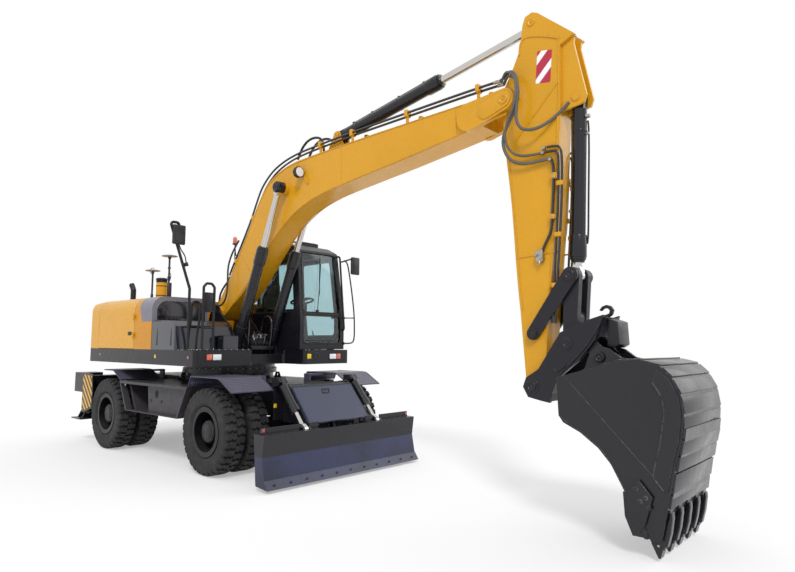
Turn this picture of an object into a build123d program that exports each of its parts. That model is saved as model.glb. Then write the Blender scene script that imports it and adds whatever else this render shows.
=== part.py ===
"""Wheeled excavator with twin tyres, dozer blade, rear outriggers and a one-piece boom.

Each sub-part is written to parts/NODE.step. Lengths are millimetres. While it is modelled the
machine stands with the slew axis at X = 0, Y = 0 and the ground at Z = 0; +X points to the dozer
blade, +Y to the operator's left. On export everything moves back by FRAME_SHIFT_X, which puts the
frame's origin on the ground below the middle of the machine's bounding box.
"""
from build123d import *
from math import asin, atan2, cos, degrees, hypot, pi, radians, sin
import os

FRAME_SHIFT_X = 2000

# ---------------------------------------------------------------- undercarriage sizes
WHEELBASE = 2800
FRONT_AXLE_X = 1375
REAR_AXLE_X = FRONT_AXLE_X - WHEELBASE
MACHINE_WIDTH = 2500
HALF_WIDTH = MACHINE_WIDTH / 2

TYRE_RADIUS = 525
TYRE_WIDTH = 278
TWIN_SPACING = 340
AXLE_Z = TYRE_RADIUS
TWIN_MID_Y = HALF_WIDTH - TYRE_WIDTH / 2 - TWIN_SPACING / 2
RIM_SEAT_RADIUS = 254
RIM_FLANGE_RADIUS = 298
RIM_FLANGE_WIDTH = 16
RIM_BARREL_WALL = 12
RIM_WIDTH = 236
DISC_THICKNESS = 16
HUB_FLANGE_THICKNESS = 14
HUB_RADIUS = 137
HUB_DRUM_RADIUS = 160
HUB_FACE_INSET = 58
SPINDLE_RADIUS = 62
RUNNING_CLEARANCE = 0.05
SEAT_GAP = 0.3

KINGPIN_Y = 735
KINGPIN_RADIUS = 32
KNUCKLE_HEIGHT = 250
AXLE_BEAM_HEIGHT = 170
AXLE_BEAM_DEPTH = 150
DIFFERENTIAL_RADIUS = 184
STEERING_ARM = 205
STEERING_DROP = 60
STEERING_REACH = 170
STEERING_ROD_RADIUS = 26

FRAME_HALF_WIDTH = 372
FRAME_BOTTOM_Z = 660
FRAME_TOP_Z = 1085
AXLE_SEAT_Z = 712
WAIST_HALF_WIDTH = 520
FRAME_FRONT_X = 1930
FRAME_REAR_X = -1960
FRAME_PLATE = 30
GEARBOX_LENGTH = 420
PROP_SHAFT_RADIUS = 42
TOWER_RADIUS = 640
TOWER_TOP_Z = 1165
RING_RADIUS = 690
RING_TOP_Z = 1232

SIDE_BOX_BOTTOM_Z = 628
SIDE_BOX_TOP_Z = 1040
SIDE_BOX_FRONT_CLEARANCE = 114
SIDE_BOX_REAR_CLEARANCE = 164
SIDE_BOX_LEAN = 224
SIDE_BOX_FRONT_X = FRONT_AXLE_X - TYRE_RADIUS - SIDE_BOX_FRONT_CLEARANCE
SIDE_BOX_REAR_X = REAR_AXLE_X + TYRE_RADIUS + SIDE_BOX_REAR_CLEARANCE
SIDE_BOX_RIM = 88
SIDE_BOX_SETBACK = 112
SIDE_BOX_PLATE = 12

FENDER_TOP_Z = 1183
FENDER_PLATE = 10
FENDER_INNER_Y = 637
FENDER_OUTER_Y = HALF_WIDTH - 5

# ---------------------------------------------------------------- blade and tool box sizes
BLADE_HALF_WIDTH = 1247
BLADE_BOTTOM_Z = 36
BLADE_TOP_Z = 603
BLADE_SHEET = 22
LINK_LENGTH = 560
LINK_FOOT_X = 1960
LINK_LOWER_Z = 290
LINK_UPPER_Z = 455
LINK_REST_DEG = -14
LINK_Y = 265
LINK_THICKNESS = 50
LINK_RISE = LINK_LENGTH * sin(radians(LINK_REST_DEG))
LINK_END_X = LINK_FOOT_X + LINK_LENGTH * cos(radians(LINK_REST_DEG))
BLADE_PIN_DEPTH = 172.6344
BLADE_FRONT_X = LINK_END_X + BLADE_PIN_DEPTH
BLADE_CYLINDER_Y = 600
BLADE_CYLINDER_BASE = (2030, 1130)
BLADE_CYLINDER_FOOT = (BLADE_FRONT_X - 186, 600)
TOOLBOX_HALF_WIDTH = 505
TOOLBOX_TOP = (2110, 1068)
TOOLBOX_BOTTOM = (2463, 660)
TOOLBOX_LID_THICKNESS = 28
TOOLBOX_LID_GAP = 1
TOOLBOX_HINGE = (2448, 626)

# ---------------------------------------------------------------- outrigger sizes
OUTRIGGER_X = -2450
OUTRIGGER_PIVOT = (330, 560)
OUTRIGGER_TIP = (1120, 470)
OUTRIGGER_CYLINDER_TOP = (1010, 1034)
OUTRIGGER_CYLINDER_FOOT = (985, 472)
LEG_HALF_WIDTH = 66
LEG_PLATE = 26
FOOT_BOTTOM_Z = 360
FOOT_LENGTH = 360
FOOT_WIDTH = 300
GUARD_Y = 1200
LEG_LUG_PLATE = 25
SPINE_HALF_WIDTH = 300
GUARD_PLATE = 15
TOW_EYE_REACH = 90
TOW_EYE_PLATE = 40
TOW_EYE_BORE = 21
TOW_EYE_Z = 620
TIE_DOWN_X = 600
TIE_DOWN_Y = 430
TIE_DOWN_PLATE = 25
TIE_DOWN_BORE = 24
TIE_DOWN_Z = 1132

# ---------------------------------------------------------------- upper structure sizes
UPPER_BOTTOM_Z = 1300
DECK_TOP_Z = 1503
TAIL_RADIUS = 2400
UPPER_HALF_WIDTH = HALF_WIDTH
RIGHT_PLATFORM_X = 1114
LEFT_PLATFORM_X = 1286
BODY_TOP_Z = 2250
PANEL_THICKNESS = 36
COUNTERWEIGHT_X = -1765
DOOR_FRONT_X = -553
HOOD_FRONT_X = -45
TANK_FRONT_X = 640
TANK_TOP_Z = 1890
DOOR_GAP = 8
BULKHEAD = 28
HOOD_HALF_WIDTH = 700
BODY_REACH = UPPER_HALF_WIDTH + 50
SHOULDER_INNER_Y = UPPER_HALF_WIDTH - 198
SHOULDER_RADIUS = 190
SERVICE_DOOR_HINGE = (DOOR_FRONT_X - 4, UPPER_HALF_WIDTH + 16)
ENGINE_HOOD_HINGE = (DOOR_FRONT_X - 4, BODY_TOP_Z + 16)
CAB_REAR_X = -520
CAB_FRONT_X = 1175
CAB_INNER_Y = 378
CAB_OUTER_Y = 1240
CAB_TOP_Z = 3110
CAB_WALL = 50
CAB_CORNER_RADIUS = 55
CAB_ROOF_BEND_Z = 2500
CAB_BASE_Z = DECK_TOP_Z + 8
CAB_DOOR_HINGE = (167, CAB_OUTER_Y + 16)

# ---------------------------------------------------------------- working gear pins, X and Z
BOOM_FOOT = (-90, 2055)
BOOM_CYLINDER_BASE = (585, 1540)
BOOM_CYLINDER_ROD = (1490, 3711)
BOOM_TIP = (4984, 4034)
ARM_CYLINDER_BASE = (2400, 4285)
ARM_CYLINDER_ROD = (5255, 4775)
BUCKET_CYLINDER_BASE = (5690, 3905)
ARM_TIP = (5240, 1219)
SIDE_LINK_FOOT = (5246, 1708)
LINK_TOP = (5628, 2234)
COUPLER_PIN = (5595, 1616)
BUCKET_EAR_PIN = (5900, 1498)

BOOM_HALF_WIDTH = 170
BOOM_PLATE = 16
ARM_HALF_WIDTH = 120
ARM_PLATE = 14
BOOM_CYLINDER_Y = 290
BUCKET_HALF_WIDTH = 490

PARTS = {}


# ---------------------------------------------------------------- shape helpers
def slab(points, y_low, y_high, corner=0):
    """A plate standing in the X-Z plane between two Y values, its corners rounded."""
    face = make_face(Polyline(*points, close=True))
    if corner:
        face = fillet(face.vertices(), corner)
    return Pos(0, y_high, 0) * extrude(Plane.XZ * face, amount=y_high - y_low)


def sheet_xy(points, z_low, z_high, corner=0):
    """A plate lying in the X-Y plane between two heights."""
    face = make_face(Polyline(*points, close=True))
    if corner:
        face = fillet(face.vertices(), corner)
    return Pos(0, 0, z_low) * extrude(face, amount=z_high - z_low)


def plate_yz(points, x_low, x_high, corner=0):
    """A plate standing in the Y-Z plane between two X values."""
    face = make_face(Polyline(*points, close=True))
    if corner:
        face = fillet(face.vertices(), corner)
    return Pos(x_low, 0, 0) * extrude(Plane.YZ * face, amount=x_high - x_low)


def block(x_low, x_high, y_low, y_high, z_low, z_high):
    """A box given by its limits."""
    middle = Pos((x_low + x_high) / 2, (y_low + y_high) / 2, (z_low + z_high) / 2)
    return middle * Box(x_high - x_low, y_high - y_low, z_high - z_low)


def pin_y(centre, radius, y_low, y_high):
    """A round bar along Y through an X-Z point."""
    middle = Pos(centre[0], (y_low + y_high) / 2, centre[1])
    return middle * Rot(90, 0, 0) * Cylinder(radius, y_high - y_low)


def bar(start, end, radius):
    """A round bar between two points in space."""
    a, b = Vector(*start), Vector(*end)
    plane = Plane(origin=a, z_dir=b - a)
    return extrude(plane * Circle(radius), amount=(b - a).length)


def along(start, end, distance):
    """The X-Z point at a distance from start on the way to end."""
    span = hypot(end[0] - start[0], end[1] - start[1])
    return tuple(s + (e - s) * distance / span for s, e in zip(start, end))


def strap(start, start_radius, end, end_radius, y_low, y_high):
    """A flat link in the X-Z plane: two round ends and the straight sides that touch both."""
    span = hypot(end[0] - start[0], end[1] - start[1])
    heading = atan2(end[1] - start[1], end[0] - start[0])
    lean = asin((start_radius - end_radius) / span)
    corners = []
    for centre, radius, sides in ((start, start_radius, (1, -1)), (end, end_radius, (-1, 1))):
        for side in sides:
            angle = heading + side * (pi / 2 - lean)
            corners.append((centre[0] + radius * cos(angle), centre[1] + radius * sin(angle)))
    face = make_face(Polyline(*corners, close=True))
    face += Pos(*start) * Circle(start_radius)
    face += Pos(*end) * Circle(end_radius)
    return Pos(0, y_high, 0) * extrude(Plane.XZ * face, amount=y_high - y_low)


def upright(face, y_low, y_high):
    """A face drawn in the X-Z plane, given its thickness between two Y values."""
    return Pos(0, y_high, 0) * extrude(Plane.XZ * face, amount=y_high - y_low)


def outline(*runs):
    """A closed face from runs of points: a run marked "curve" is a smooth line, the others are straight."""
    edges = None
    for kind, points in runs:
        edge = Spline(*points) if kind == "curve" else Polyline(*points)
        edges = edge if edges is None else edges + edge
    return make_face(edges)


def box_girder(face, half_width, plate):
    """A closed box of welded plate from its side view."""
    inner = offset(face, amount=-plate)
    return upright(face, -half_width, half_width) - upright(inner, plate - half_width, half_width - plate)


def mirrored(shape):
    """The same shape on the other side of the machine."""
    return mirror(shape, about=Plane.XZ)


def both_sides(shape):
    """A shape and its mirror image."""
    return shape + mirrored(shape)


def keep(name, *shapes):
    """File the solids of a sub-part under its node name."""
    solids = []
    for shape in shapes:
        solids += shape.solids()
    PARTS[name] = Compound(children=solids) if len(solids) > 1 else solids[0]


def turned(profile, centre_x, side):
    """A body of revolution about a wheel's axle, from (radius, distance inwards of the outer face)."""
    points = [(side * (HALF_WIDTH - depth), radius) for radius, depth in profile]
    face = make_face(Polyline(*points, close=True))
    solid = revolve(Plane(origin=(0, 0, 0), x_dir=(0, 1, 0), z_dir=(1, 0, 0)) * face, axis=Axis.Y)
    return Pos(centre_x, 0, AXLE_Z) * solid


def cylinder(base, end, y, bore, barrel_length, rod_radius, eye_width, base_pin, rod_pin, rod_inside):
    """A hydraulic cylinder between two X-Z pins: returns barrel and rod.

    barrel_length runs from the base pin to the gland face, rod_inside is how far the rod reaches
    back into the barrel from the gland at rest.
    """
    low, high = y - eye_width / 2, y + eye_width / 2
    span = hypot(end[0] - base[0], end[1] - base[1])
    outer = bore + 13

    def at(distance):
        x, z = along(base, end, distance)
        return (x, y, z)

    neck = base_pin + outer
    barrel = bar(at(neck), at(barrel_length), outer)
    barrel += bar(at(barrel_length - 80), at(barrel_length), outer + 7)
    barrel += strap(base, base_pin + 24, along(base, end, neck + 2), 0.8 * outer, low, high)
    barrel -= bar(at(neck + 16), at(barrel_length - 60), bore)
    barrel -= bar(at(barrel_length - 70), at(barrel_length + 1), rod_radius + RUNNING_CLEARANCE)
    barrel -= pin_y(base, base_pin + RUNNING_CLEARANCE, low - 5, high + 5)
    rod = bar(at(barrel_length - rod_inside), at(span - rod_pin - 10), rod_radius)
    rod += bar(at(barrel_length - rod_inside), at(barrel_length - rod_inside + 30), bore - 0.5)
    rod += strap(end, rod_pin + 24, along(end, base, rod_pin + 30), rod_radius + 4, low, high)
    return barrel, rod


def hinge_pair(centre, leaf_fixed, leaf_moving, radius=14, width=90):
    """A leaf hinge with its pin along Z: returns the fixed half with the pin, and the moving half.

    leaf_fixed and leaf_moving are (x, y) ends of each leaf relative to the pin.
    """
    third = width / 3
    bore = 0.5 * radius

    def half(leaf, spans):
        reach = hypot(*leaf)
        heading = degrees(atan2(leaf[1], leaf[0]))
        shape = None
        for low, high in spans:
            ring = Pos(0, 0, (low + high) / 2) * Cylinder(radius, high - low)
            leaf_plate = Box(reach, 0.8 * radius, high - low)
            ring += Rot(0, 0, heading) * Pos(reach / 2, 0, (low + high) / 2) * leaf_plate
            shape = ring if shape is None else shape + ring
        return shape

    fixed = half(leaf_fixed, ((-1.5 * third, -0.5 * third - 1), (0.5 * third + 1, 1.5 * third)))
    fixed += Cylinder(bore, width)
    moving = half(leaf_moving, ((-0.5 * third + 1, 0.5 * third - 1),))
    moving -= Cylinder(bore + RUNNING_CLEARANCE, width)
    return Pos(*centre) * fixed, Pos(*centre) * moving


# ---------------------------------------------------------------- wheels
def tyre_profile(middle):
    """Half section of a tyre whose middle lies this far inwards of the machine's side."""
    half = TYRE_WIDTH / 2
    bead = RIM_WIDTH / 2 - RIM_FLANGE_WIDTH - 1
    seat = RIM_SEAT_RADIUS + SEAT_GAP
    right = [(seat, bead), (RIM_FLANGE_RADIUS + 4, bead), (RIM_FLANGE_RADIUS + 30, half - 12), (400, half),
             (478, half - 4), (512, half - 20), (TYRE_RADIUS, half - 52)]
    left = [(radius, -offset) for radius, offset in reversed(right)]
    return [(radius, middle + offset) for radius, offset in right + left]


def rim_profile(middle, disc_side):
    """Section of a rim; disc_side is +1 when the disc lies on the inward edge of the rim."""
    half = RIM_WIDTH / 2
    seat, wall = RIM_SEAT_RADIUS, RIM_BARREL_WALL
    outer = -disc_side * half
    inner = disc_side * half
    lip = -disc_side * (half - RIM_FLANGE_WIDTH)
    back = disc_side * (half - RIM_FLANGE_WIDTH)
    disc = disc_side * (TWIN_SPACING / 2 - HUB_FLANGE_THICKNESS / 2)
    disc_outer = disc - disc_side * DISC_THICKNESS
    knee = disc_side * (half - 30)
    points = [(RIM_FLANGE_RADIUS, outer), (RIM_FLANGE_RADIUS, lip), (seat, lip), (seat, back),
              (RIM_FLANGE_RADIUS, back), (RIM_FLANGE_RADIUS, inner), (seat - wall, inner),
              (seat - wall - 22, disc), (HUB_DRUM_RADIUS - 10, disc), (HUB_DRUM_RADIUS - 10, disc_outer),
              (seat - wall - 32, disc_outer), (seat - wall, knee), (seat - wall, outer)]
    return [(radius, middle + depth) for radius, depth in points]


def wheel_pair(name, centre_x, side):
    """Twin tyres and their rims with the hub between them."""
    outer_mid = TYRE_WIDTH / 2
    inner_mid = outer_mid + TWIN_SPACING
    tyres = [turned(tyre_profile(mid), centre_x, side) for mid in (outer_mid, inner_mid)]
    keep(f"tyres_{name}", *tyres)
    flange = (outer_mid + inner_mid) / 2
    face = HUB_FACE_INSET
    drum_end = flange + 96
    hub = [(0, face), (HUB_RADIUS - 14, face), (HUB_RADIUS, face + 14), (HUB_RADIUS, flange - 60),
           (HUB_DRUM_RADIUS, flange - 40), (HUB_DRUM_RADIUS, flange - HUB_FLANGE_THICKNESS / 2),
           (HUB_DRUM_RADIUS + 45, flange - HUB_FLANGE_THICKNESS / 2),
           (HUB_DRUM_RADIUS + 45, flange + HUB_FLANGE_THICKNESS / 2),
           (HUB_DRUM_RADIUS, flange + HUB_FLANGE_THICKNESS / 2), (HUB_DRUM_RADIUS, drum_end - 8),
           (HUB_DRUM_RADIUS - 8, drum_end), (SPINDLE_RADIUS + RUNNING_CLEARANCE, drum_end),
           (SPINDLE_RADIUS + RUNNING_CLEARANCE, flange - 30), (0, flange - 30)]
    rims = turned(hub, centre_x, side)
    rims += turned(rim_profile(outer_mid, 1), centre_x, side)
    rims += turned(rim_profile(inner_mid, -1), centre_x, side)
    keep(f"rims_{name}", rims)


# ---------------------------------------------------------------- axles and steering
SPINDLE_END_Y = TWIN_MID_Y + 24
HUB_INNER_Y = TWIN_MID_Y - 96


def axle_beam(centre_x, end_y):
    """A cast axle: differential bowl in the middle and a beam that tapers to each end."""
    bowl = Pos(centre_x, 0, AXLE_Z) * Sphere(DIFFERENTIAL_RADIUS)
    flat = 0.95 * DIFFERENTIAL_RADIUS
    bowl &= block(centre_x - flat, centre_x + flat, -DIFFERENTIAL_RADIUS, DIFFERENTIAL_RADIUS,
                  AXLE_Z - flat, AXLE_Z + flat)
    half_depth, half_height = AXLE_BEAM_DEPTH / 2, AXLE_BEAM_HEIGHT / 2
    start = Plane(origin=(centre_x, 0, AXLE_Z), x_dir=(1, 0, 0), z_dir=(0, 1, 0))
    end = Plane(origin=(centre_x, end_y, AXLE_Z), x_dir=(1, 0, 0), z_dir=(0, 1, 0))
    arm = loft([start * RectangleRounded(2 * half_depth + 60, 2 * half_height + 60, 40),
                end * RectangleRounded(2 * half_depth - 50, 2 * half_height, 30)])
    side = 1 if centre_x > 0 else -1
    flange = side * (GEARBOX_LENGTH / 2 + SEAT_GAP)
    shaft = bar((flange, 0, AXLE_Z), (centre_x - side * 0.9 * DIFFERENTIAL_RADIUS, 0, AXLE_Z),
                PROP_SHAFT_RADIUS)
    for x in (flange + side * 20, centre_x - side * (DIFFERENTIAL_RADIUS + 60)):
        shaft += bar((x - 20, 0, AXLE_Z), (x + 20, 0, AXLE_Z), 1.6 * PROP_SHAFT_RADIUS)
    return bowl + both_sides(arm) + shaft


def rear_axle():
    """Rigid axle with a brake flange and a spindle on each end, bolted to pads under the frame."""
    body = axle_beam(REAR_AXLE_X, HUB_INNER_Y - 40)
    flange = pin_y((REAR_AXLE_X, AXLE_Z), 150, HUB_INNER_Y - 45, HUB_INNER_Y - 10)
    spindle = pin_y((REAR_AXLE_X, AXLE_Z), SPINDLE_RADIUS, HUB_INNER_Y - 20, SPINDLE_END_Y)
    pad = block(REAR_AXLE_X - 110, REAR_AXLE_X + 110, 230, 330, AXLE_Z + 60, AXLE_SEAT_Z - SEAT_GAP)
    return body + both_sides(flange + spindle + pad)


def front_axle():
    """Pendulum axle: beam ends forked for the kingpins and a saddle block under the frame."""
    body = axle_beam(FRONT_AXLE_X, KINGPIN_Y - 120)
    fork_half = KNUCKLE_HEIGHT / 2 + 6
    web = block(FRONT_AXLE_X - 50, FRONT_AXLE_X + 50, KINGPIN_Y - 150, KINGPIN_Y - 75,
                AXLE_Z - fork_half - 34, AXLE_Z + fork_half + 34)
    forks = web
    for up in (1, -1):
        z_near = AXLE_Z + up * fork_half
        z_far = AXLE_Z + up * (fork_half + 34)
        low, high = min(z_near, z_far), max(z_near, z_far)
        tongue = block(FRONT_AXLE_X - 55, FRONT_AXLE_X + 55, KINGPIN_Y - 100, KINGPIN_Y, low, high)
        eye = Pos(FRONT_AXLE_X, KINGPIN_Y, (low + high) / 2) * Cylinder(55, high - low)
        bore = Pos(FRONT_AXLE_X, KINGPIN_Y, (low + high) / 2) * Cylinder(
            KINGPIN_RADIUS + RUNNING_CLEARANCE, high - low + 2)
        forks += tongue + eye
        forks -= bore
    saddle = block(FRONT_AXLE_X - 130, FRONT_AXLE_X + 130, -150, 150, AXLE_Z + 80, AXLE_SEAT_Z - SEAT_GAP)
    rod_x, rod_z = FRONT_AXLE_X - STEERING_ARM, AXLE_Z - STEERING_DROP
    jacket = bar((rod_x, -230, rod_z), (rod_x, 230, rod_z), 48)
    jacket += block(rod_x - 10, FRONT_AXLE_X - 60, -150, 150, rod_z - 30, rod_z + 55)
    body += both_sides(forks) + saddle + jacket
    body -= bar((rod_x, -260, rod_z), (rod_x, 260, rod_z), STEERING_ROD_RADIUS + RUNNING_CLEARANCE)
    return body


def knuckle(name, side):
    """Steering knuckle: kingpin stubs, the drum behind the hub, a spindle and a steering arm."""
    half = KNUCKLE_HEIGHT / 2
    post = Pos(FRONT_AXLE_X, KINGPIN_Y, AXLE_Z) * Cylinder(52, KNUCKLE_HEIGHT)
    for up in (1, -1):
        post += Pos(FRONT_AXLE_X, KINGPIN_Y, AXLE_Z + up * (half + 20)) * Cylinder(KINGPIN_RADIUS, 44)
    drum = pin_y((FRONT_AXLE_X, AXLE_Z), 92, KINGPIN_Y + 10, HUB_INNER_Y - 8)
    spindle = pin_y((FRONT_AXLE_X, AXLE_Z), SPINDLE_RADIUS, KINGPIN_Y + 20, SPINDLE_END_Y)
    z = AXLE_Z - STEERING_DROP + STEERING_ROD_RADIUS + 5
    plan = [(0, 35), (0, -35), (-100, -45), (25 - STEERING_ARM, -STEERING_REACH - 18),
            (-30 - STEERING_ARM, -STEERING_REACH + 5), (-150, 30)]
    arm = sheet_xy([(FRONT_AXLE_X + x, KINGPIN_Y + y) for x, y in plan], z, z + 28)
    arm += Pos(FRONT_AXLE_X - STEERING_ARM, KINGPIN_Y - STEERING_REACH, z + 14) * Cylinder(30, 28)
    body = post + drum + spindle + arm
    keep(name, body if side > 0 else mirrored(body))


def steering_rod():
    """The rod through the steering cylinder, with an eye near each knuckle's arm."""
    z = AXLE_Z - STEERING_DROP
    x = FRONT_AXLE_X - STEERING_ARM
    end = KINGPIN_Y - STEERING_REACH
    rod = bar((x, -end, z), (x, end, z), STEERING_ROD_RADIUS)
    eye = Pos(x, end, z) * Cylinder(32, 2 * STEERING_ROD_RADIUS - 8)
    keep("steering_rod", rod + both_sides(eye))


# ---------------------------------------------------------------- chassis
def chassis_frame():
    """Welded box frame with a waist over each axle, the slew tower and the link brackets in front."""
    tower_x = TOWER_RADIUS + 60
    plan = [(FRAME_REAR_X, FRAME_HALF_WIDTH), (-tower_x - 80, FRAME_HALF_WIDTH),
            (-tower_x + 120, WAIST_HALF_WIDTH),
            (tower_x - 120, WAIST_HALF_WIDTH), (tower_x + 80, FRAME_HALF_WIDTH),
            (FRAME_FRONT_X, FRAME_HALF_WIDTH)]
    outline = plan + [(x, -y) for x, y in reversed(plan)]
    body = sheet_xy(outline, FRAME_BOTTOM_Z, FRAME_TOP_Z)
    inner = FRAME_HALF_WIDTH - FRAME_PLATE
    for low, high in ((FRAME_REAR_X + 60, -tower_x), (tower_x, FRAME_FRONT_X - 60)):
        body -= block(low, high, -inner, inner, FRAME_BOTTOM_Z - 1, FRAME_TOP_Z - FRAME_PLATE)
    for x in (FRONT_AXLE_X, REAR_AXLE_X):
        body += block(x - 140, x + 140, -inner - 1, inner + 1, AXLE_SEAT_Z, AXLE_SEAT_Z + FRAME_PLATE)
    tower = Pos(0, 0, (FRAME_TOP_Z - 20 + TOWER_TOP_Z) / 2) * Cylinder(
        TOWER_RADIUS, TOWER_TOP_Z - FRAME_TOP_Z + 20)
    body += tower
    body += block(-GEARBOX_LENGTH / 2, GEARBOX_LENGTH / 2, -160, 160, AXLE_Z - 90, FRAME_BOTTOM_Z + 5)
    body += pin_y((60, AXLE_Z + 70), 75, -330, -150)
    front = slab([(FRAME_FRONT_X - 250, FRAME_BOTTOM_Z + 5), (FRAME_FRONT_X - 60, LINK_LOWER_Z),
                  (FRAME_FRONT_X - 10, LINK_LOWER_Z - 60), (LINK_FOOT_X + 45, LINK_LOWER_Z - 60),
                  (LINK_FOOT_X + 45, LINK_UPPER_Z + 50),
                  (FRAME_FRONT_X, FRAME_BOTTOM_Z + 5)], LINK_Y + LINK_THICKNESS / 2 + 6,
                 LINK_Y + LINK_THICKNESS / 2 + 36)
    inner_front = Pos(0, -LINK_THICKNESS - 42, 0) * front
    for z in (LINK_LOWER_Z, LINK_UPPER_Z):
        hole = pin_y((LINK_FOOT_X, z), 24 + RUNNING_CLEARANCE, 150, 400)
        front -= hole
        inner_front -= hole
    body += both_sides(front + inner_front)
    reach = FENDER_INNER_Y - 7
    body += block(FRAME_FRONT_X - 10, FRAME_FRONT_X + 20, -reach, reach, FRAME_BOTTOM_Z, FRAME_TOP_Z)
    body += block(FRAME_FRONT_X - 250, FRAME_FRONT_X + 20, -FRAME_HALF_WIDTH, FRAME_HALF_WIDTH,
                  FRAME_BOTTOM_Z, FRAME_BOTTOM_Z + FRAME_PLATE)
    ear = slab([(FRAME_FRONT_X + 5, 1060), (FRAME_FRONT_X + 5, 1180), (2040, 1180), (2085, 1130),
                (2040, 1085)],
               BLADE_CYLINDER_Y - 57, BLADE_CYLINDER_Y - 32)
    ear += Pos(0, 89, 0) * ear
    ear += block(FRAME_FRONT_X - 10, FRAME_FRONT_X + 20, BLADE_CYLINDER_Y - 57, BLADE_CYLINDER_Y + 57,
                 1055, 1180)
    ear += pin_y(BLADE_CYLINDER_BASE, 22, BLADE_CYLINDER_Y - 62, BLADE_CYLINDER_Y + 62)
    body += both_sides(ear)
    for x in (-TIE_DOWN_X, TIE_DOWN_X):
        low, high = TIE_DOWN_Y - TIE_DOWN_PLATE / 2, TIE_DOWN_Y + TIE_DOWN_PLATE / 2
        eye = slab([(x - 75, FRAME_TOP_Z - 5), (x + 75, FRAME_TOP_Z - 5), (x + 30, TIE_DOWN_Z + 40),
                    (x - 30, TIE_DOWN_Z + 40)], low, high)
        body += both_sides(eye - pin_y((x, TIE_DOWN_Z), TIE_DOWN_BORE, low - 1, high + 1))
    keep("chassis_frame", body)


def slew_ring():
    """Fixed race of the slew bearing with its ring of bolt bosses."""
    ring = Pos(0, 0, (TOWER_TOP_Z + RING_TOP_Z) / 2) * (
        Cylinder(RING_RADIUS, RING_TOP_Z - TOWER_TOP_Z) - Cylinder(RING_RADIUS - 130, RING_TOP_Z))
    keep("slew_ring", ring)


def side_boxes():
    """Tool boxes between the wheels: a trapezoid rim at full width and a shorter body behind it."""
    def outline(inset):
        rear, front = SIDE_BOX_REAR_X + inset, SIDE_BOX_FRONT_X - inset
        return [(rear, SIDE_BOX_BOTTOM_Z), (front, SIDE_BOX_BOTTOM_Z),
                (front + SIDE_BOX_LEAN, SIDE_BOX_TOP_Z), (rear - SIDE_BOX_LEAN, SIDE_BOX_TOP_Z)]
    plate = SIDE_BOX_PLATE
    rim_y = HALF_WIDTH - SIDE_BOX_RIM
    rear, front, lean = SIDE_BOX_REAR_X, SIDE_BOX_FRONT_X, SIDE_BOX_LEAN
    hole = [(rear + 26, SIDE_BOX_BOTTOM_Z + plate), (front - 26, SIDE_BOX_BOTTOM_Z + plate),
            (front + lean - 40, SIDE_BOX_TOP_Z - 36), (rear - lean + 40, SIDE_BOX_TOP_Z - 36)]
    rim = slab(outline(0), rim_y, HALF_WIDTH) - slab(hole, rim_y - 1, HALF_WIDTH + 1)
    box = slab(outline(SIDE_BOX_SETBACK), WAIST_HALF_WIDTH + SEAT_GAP, rim_y)
    step = slab([(rear + SIDE_BOX_SETBACK + 40, SIDE_BOX_BOTTOM_Z + plate),
                 (rear + 536, SIDE_BOX_BOTTOM_Z + plate), (rear + 486, SIDE_BOX_TOP_Z - 36),
                 (rear - lean + SIDE_BOX_SETBACK + 60, SIDE_BOX_TOP_Z - 36)],
                HALF_WIDTH - 380, HALF_WIDTH)
    box -= step
    body = rim + box
    keep("side_boxes", body, mirrored(body))


def fenders():
    """Folded chequer-plate mudguards over the four wheel pairs."""
    runs = {
        "front": [(SIDE_BOX_FRONT_X + SIDE_BOX_LEAN + 18, SIDE_BOX_TOP_Z + 22),
                  (FRONT_AXLE_X - 349, FENDER_TOP_Z), (FRONT_AXLE_X + 290, FENDER_TOP_Z),
                  (FRONT_AXLE_X + 568, FENDER_TOP_Z - 156)],
        "rear": [(SIDE_BOX_REAR_X - SIDE_BOX_LEAN + 20, SIDE_BOX_TOP_Z + 18),
                 (REAR_AXLE_X + 225, FENDER_TOP_Z), (REAR_AXLE_X - 91, FENDER_TOP_Z)],
    }
    solids = []
    for run in runs.values():
        upper = [(x, z) for x, z in run]
        lower = [(x, z - FENDER_PLATE) for x, z in reversed(run)]
        sheet = slab(upper + lower, FENDER_INNER_Y, FENDER_OUTER_Y)
        bracket_x = (upper[1][0] + upper[2][0]) / 2
        bracket = block(bracket_x - 60, bracket_x + 60, FRAME_HALF_WIDTH, FENDER_INNER_Y + 60,
                        FENDER_TOP_Z - FENDER_PLATE - 30, FENDER_TOP_Z - FENDER_PLATE)
        bracket += block(bracket_x - 60, bracket_x + 60, FRAME_HALF_WIDTH + SEAT_GAP, FRAME_HALF_WIDTH + 30,
                         FRAME_TOP_Z - 80, FENDER_TOP_Z - FENDER_PLATE)
        solids += [sheet + bracket, mirrored(sheet + bracket)]
    keep("fenders", *solids)


# ---------------------------------------------------------------- blade
def blade_links():
    """Two pairs of parallel links that carry the blade."""
    for name, z in (("blade_lower_links", LINK_LOWER_Z), ("blade_upper_links", LINK_UPPER_Z)):
        low, high = LINK_Y - LINK_THICKNESS / 2, LINK_Y + LINK_THICKNESS / 2
        start, end = (LINK_FOOT_X, z), (LINK_END_X, z + LINK_RISE)
        link = strap(start, 42, end, 42, low, high)
        link += pin_y(start, 24, low - 30, high + 30)
        link += pin_y(end, 24, low - 24, high + 24)
        keep(name, link, mirrored(link))


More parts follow.
